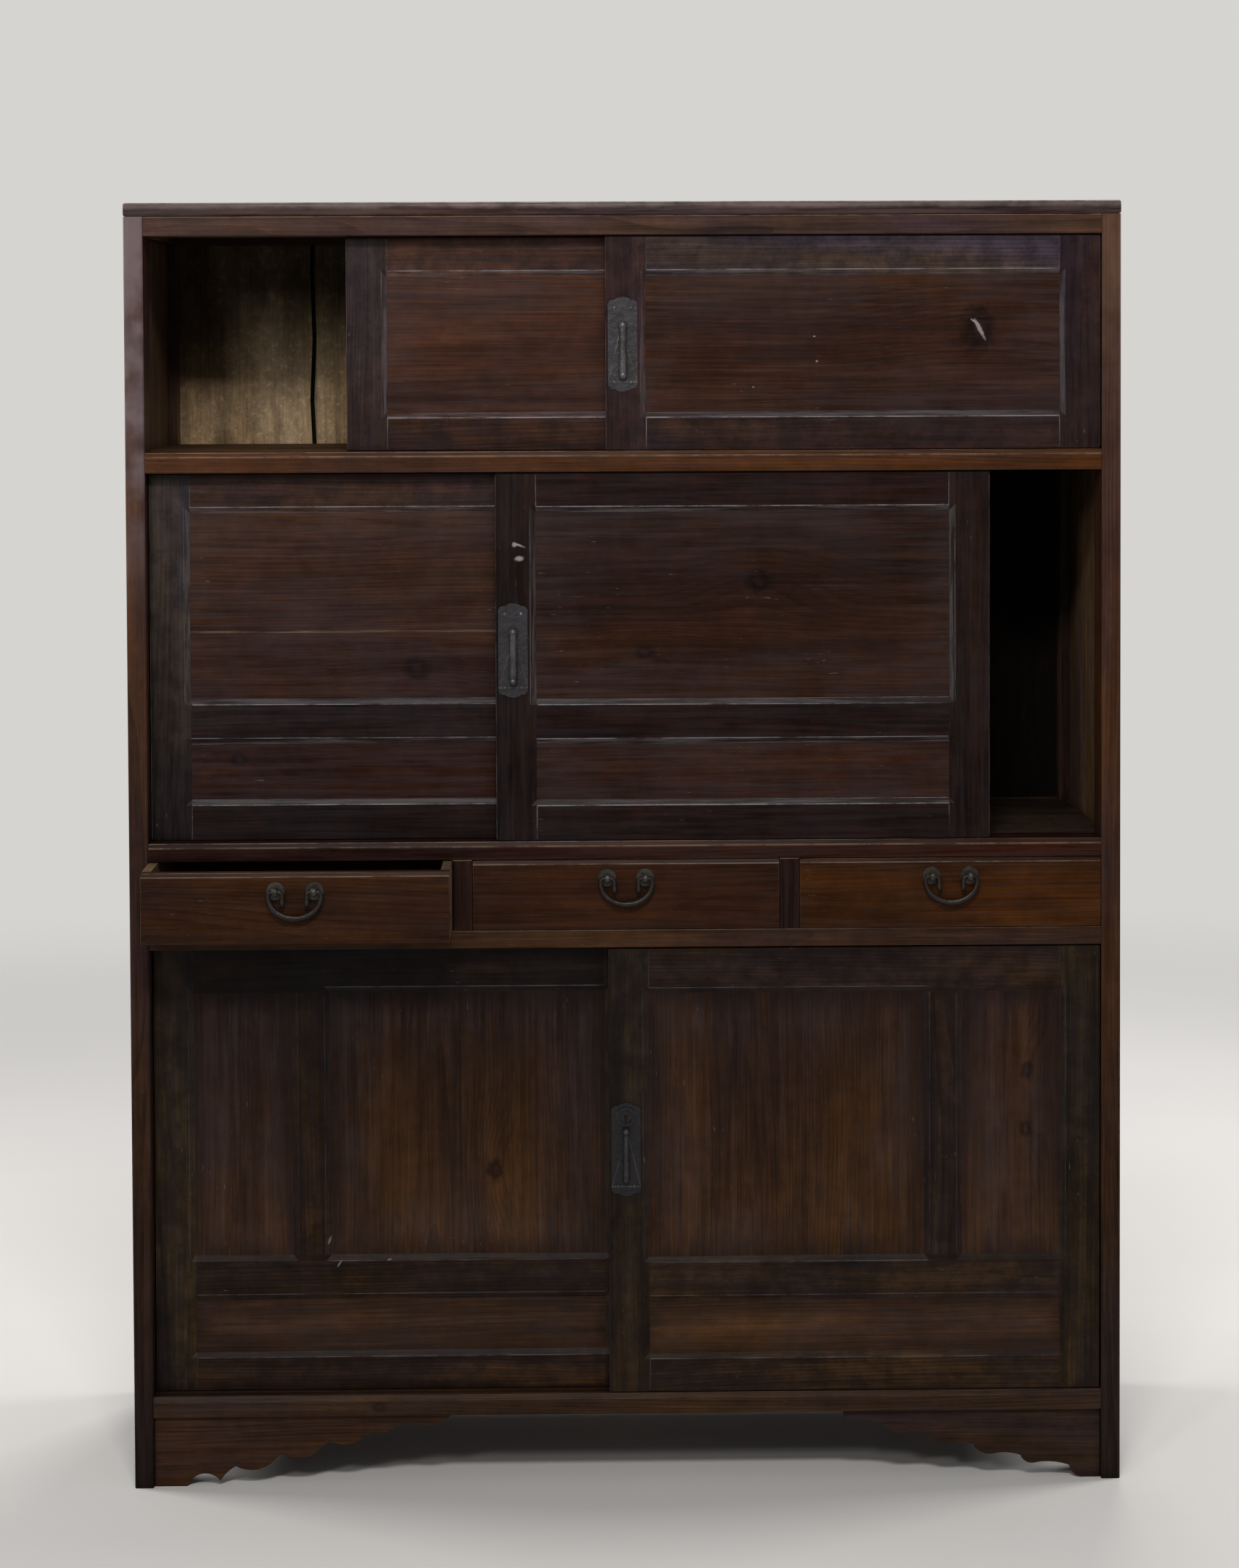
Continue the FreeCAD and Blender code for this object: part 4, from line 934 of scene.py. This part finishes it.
def finish_mesh(bm, name, smooth):
    """A new object from a worked mesh."""
    for face in bm.faces:
        face.smooth = smooth
    mesh = bpy.data.meshes.new(name)
    bm.to_mesh(mesh)
    bm.free()
    if "custom_normal" in mesh.attributes:
        mesh.attributes.remove(mesh.attributes["custom_normal"])
    mesh.materials.clear()
    piece = bpy.data.objects.new(name, mesh)
    bpy.context.scene.collection.objects.link(piece)
    return piece


def clean_copy(node):
    """A node's mesh with its seams closed and its flat faces whole. Boards that touch stay apart: a
    board is complete when each of its edges has been met twice."""
    source = nodes[node].data
    bm = bmesh.new()
    corners = {}
    open_edges = set()
    for polygon in source.polygons:
        keys = [tuple(round(part / merge_distance) for part in source.vertices[i].co)
                for i in polygon.vertices]
        if len(set(keys)) < len(keys):
            continue
        for key, i in zip(keys, polygon.vertices):
            if key not in corners:
                corners[key] = bm.verts.new(source.vertices[i].co)
        bm.faces.new([corners[key] for key in keys])
        for pair in zip(keys, keys[1:] + keys[:1]):
            open_edges ^= {frozenset(pair)}
        if not open_edges:
            corners = {}
    bmesh.ops.dissolve_limit(bm, angle_limit=flat_angle, verts=bm.verts, edges=bm.edges)
    return bm


def stand_for(piece, node, material):
    """Puts a worked copy in a node's place, on its body and in its slot."""
    piece.data.materials.append(material)
    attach(piece, body_of_node[node])
    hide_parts(node)


def dress_wood(node, material):
    """A wooden node with eased arrises, its grain laid and its parts marked for the shader."""
    bm = clean_copy(node)
    if node == split_panel:
        mark_bevels(bm, *joint_bevels)
    ease_arrises(bm, arris_of_node.get(node, arris))
    if slot_of_node[node] == "door_frame_wood":
        mark_bevels(bm, *frame_bevels)
    lay_grain(bm, node, slot_of_node[node] == "door_panel_wood")
    if node == "back_boards":
        blacken_joint(bm, node)
    if node in inside_raw:
        bare_inside(bm)
    stand_for(finish_mesh(bm, node + "_dressed", False), node, material)


def dress_plate(node, material):
    """A pull plate with its front outline rounded and rubbed."""
    bm = clean_copy(node)
    edge_layer = bm.verts.layers.float.new("edge")
    fronts = [face for face in bm.faces if face.normal[1] < -square_on]
    front = max(fronts, key=lambda face: face.calc_area())
    outline = [edge for edge in front.edges if len(edge.link_faces) == 2 and edge.is_convex]
    for vertex in round_edges(bm, outline, plate_arris, True):
        vertex[edge_layer] = 1.0
    stand_for(finish_mesh(bm, node + "_dressed", False), node, material)


def nail_plate(node, material):
    """Four domed nails through the corners of a pull plate."""
    low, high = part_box(node)
    middle = (low[0] + high[0]) / 2
    domed = Matrix.Diagonal((pull_nail_radius, pull_nail_rise, pull_nail_radius, 1))
    around, down = pull_nail_segments
    bm = bmesh.new()
    for height in (high[2] - pull_nail_below_top, low[2] + pull_nail_above_bottom):
        for side in (-1, 1):
            place = Vector((middle + side * pull_nail_spread, high[1] - plate_thickness, height))
            bmesh.ops.create_uvsphere(
                bm, u_segments=around, v_segments=down, radius=1.0, matrix=Matrix.Translation(place) @ domed
            )
    piece = finish_mesh(bm, node + "_nails", True)
    piece.data.materials.append(material)
    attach(piece, body_of_node[node])


def forge(node, material):
    """A rounder, slightly uneven copy of an iron piece with flats."""
    bm = bmesh.new()
    bm.from_mesh(nodes[node].data)
    bmesh.ops.remove_doubles(bm, verts=bm.verts, dist=merge_distance)
    bmesh.ops.join_triangles(
        bm, faces=bm.faces, angle_face_threshold=forge_face_angle, angle_shape_threshold=forge_shape_angle
    )
    bmesh.ops.subdivide_edges(bm, edges=bm.edges, cuts=1, use_grid_fill=True, smooth=forge_roundness)
    noise.seed_set(forge_seed)
    for vertex in bm.verts:
        vertex.co += Vector(noise.noise_vector(vertex.co * forge_noise_scale)) * forge_unevenness
    stand_for(finish_mesh(bm, node + "_forged", True), node, material)


def dress_everything():
    """A worked copy for each wooden node, plate and bail, and new materials on the other iron nodes."""
    frame_wood = wood("lacquered_frame_wood", frame_look, marks=frame_marks)
    rail_wood = wood("lacquered_rail_wood", rail_look, knots=rail_knots)
    left_post_wood = wood("lacquered_left_post_wood", left_post_look)
    right_post_wood = wood("lacquered_right_post_wood", right_post_look)
    top_wood = wood("lacquered_top_wood", top_look)
    panel_wood = wood("lacquered_panel_wood", panel_look, panel_knots, panel_marks)
    drawer_wood = wood("drawer_front_wood", drawer_look)
    aged_wood = wood("aged_inner_wood", aged_look)
    back_wood = wood("aged_back_wood", back_look, nail_heights=rail_heights())
    plain_wood = wood("plain_planed_wood", plain_look)
    side_wood = wood("stained_side_wood", side_look)
    woods = {
        "carcass_wood": rail_wood, "peg_wood": rail_wood, "door_frame_wood": frame_wood,
        "door_panel_wood": panel_wood, "drawer_front_wood": drawer_wood, "drawer_box_wood": plain_wood,
        "inner_wood": aged_wood, "plain_wood": plain_wood, "side_panel_wood": side_wood,
    }
    own_woods = {
        "top_board": top_wood, "back_boards": back_wood, "front_left_post": left_post_wood,
        "front_right_post": right_post_wood,
    }
    plate_iron, bar_iron, bail_iron, rosette_iron = (iron(name) for name in irons)
    for node in sorted(nodes):
        slot = slot_of_node[node]
        if slot != "iron":
            dress_wood(node, own_woods.get(node, woods[slot]))
        elif node.endswith("_bail"):
            forge(node, bail_iron)
        elif node.endswith("_plate"):
            dress_plate(node, plate_iron)
            nail_plate(node, bar_iron)
        else:
            material = bar_iron if node.endswith("_bar") else rosette_iron
            for material_slot in nodes[node].material_slots:
                material_slot.material = material


def seen_directly(tree):
    """One for camera, glossy and transmission rays, which show the background."""
    path = tree.nodes.new("ShaderNodeLightPath")
    total = path.outputs["Is Camera Ray"]
    for name in ("Is Glossy Ray", "Is Transmission Ray"):
        larger = tree.nodes.new("ShaderNodeMath")
        larger.operation = "MAXIMUM"
        tree.links.new(total, larger.inputs[0])
        tree.links.new(path.outputs[name], larger.inputs[1])
        total = larger.outputs[0]
    return total


def floor_material():
    """Pale paper, which fades into the background far from the object."""
    net = Net("pale_floor")
    cloud = net.span("paper", net.free("paper"))
    darker = [channel - floor_shade for channel in floor_colour]
    paper = net.add("ShaderNodeBsdfDiffuse", {"Color": net.mixed(cloud, paint(darker), paint(floor_colour))})
    glow = net.add("ShaderNodeEmission", {"Color": paint(background_colour), "Strength": 1.0})
    far = net.product(net.smooth(net.distance(net.local), *floor_fade), seen_directly(net.tree))
    return net.finished(net.add("ShaderNodeMixShader", {0: far, 1: paper, 2: glow}))


def build_floor():
    bm = bmesh.new()
    bmesh.ops.create_circle(bm, cap_ends=True, segments=floor_segments, radius=floor_radius)
    floor = finish_mesh(bm, "floor", False)
    floor.data.materials.append(floor_material())


def area_light(name, place, target, size, watts, colour):
    data = bpy.data.lights.new(name, "AREA")
    data.shape = "RECTANGLE"
    data.size, data.size_y = size
    data.energy = watts
    data.color = colour
    light = bpy.data.objects.new(name, data)
    light.location = place
    light.rotation_euler = (Vector(target) - Vector(place)).to_track_quat("-Z", "Y").to_euler()
    bpy.context.scene.collection.objects.link(light)


def build_world():
    """A dim even light on the object, and a pale background behind it."""
    world = bpy.data.worlds.new("studio")
    bpy.context.scene.world = world
    world.use_nodes = True
    tree = world.node_tree
    dim = tree.nodes["Background"]
    dim.inputs["Color"].default_value = world_colour
    dim.inputs["Strength"].default_value = world_strength
    pale = tree.nodes.new("ShaderNodeBackground")
    pale.inputs["Color"].default_value = paint(background_colour)
    pale.inputs["Strength"].default_value = 1.0
    either = tree.nodes.new("ShaderNodeMixShader")
    tree.links.new(seen_directly(tree), either.inputs[0])
    tree.links.new(dim.outputs[0], either.inputs[1])
    tree.links.new(pale.outputs[0], either.inputs[2])
    tree.links.new(either.outputs[0], tree.nodes["World Output"].inputs["Surface"])


def build_camera():
    """The camera where the photograph was taken from."""
    sin, cos = math.sin, math.cos
    forward = Vector((sin(camera_yaw) * cos(camera_pitch), cos(camera_yaw) * cos(camera_pitch),
                      -sin(camera_pitch)))
    level_right = Vector((cos(camera_yaw), -sin(camera_yaw), 0))
    level_up = level_right.cross(forward)
    right = cos(camera_roll) * level_right + sin(camera_roll) * level_up
    up = -sin(camera_roll) * level_right + cos(camera_roll) * level_up
    data = bpy.data.cameras.new("camera")
    data.sensor_fit = "VERTICAL"
    data.sensor_height = sensor_height_mm
    data.lens = focal_pixels * sensor_height_mm / image_height
    data.shift_x = shift_pixels_x / image_height
    data.shift_y = shift_pixels_y / image_height
    camera = bpy.data.objects.new("camera", data)
    turn = Matrix((right, up, -forward)).transposed().to_4x4()
    camera.matrix_world = Matrix.Translation(camera_place) @ turn
    bpy.context.scene.collection.objects.link(camera)
    bpy.context.scene.camera = camera


dress_everything()
build_floor()
build_world()
for light_name, settings in lights.items():
    area_light(light_name, *settings)
build_camera()
bpy.context.scene.view_settings.view_transform = "Standard"
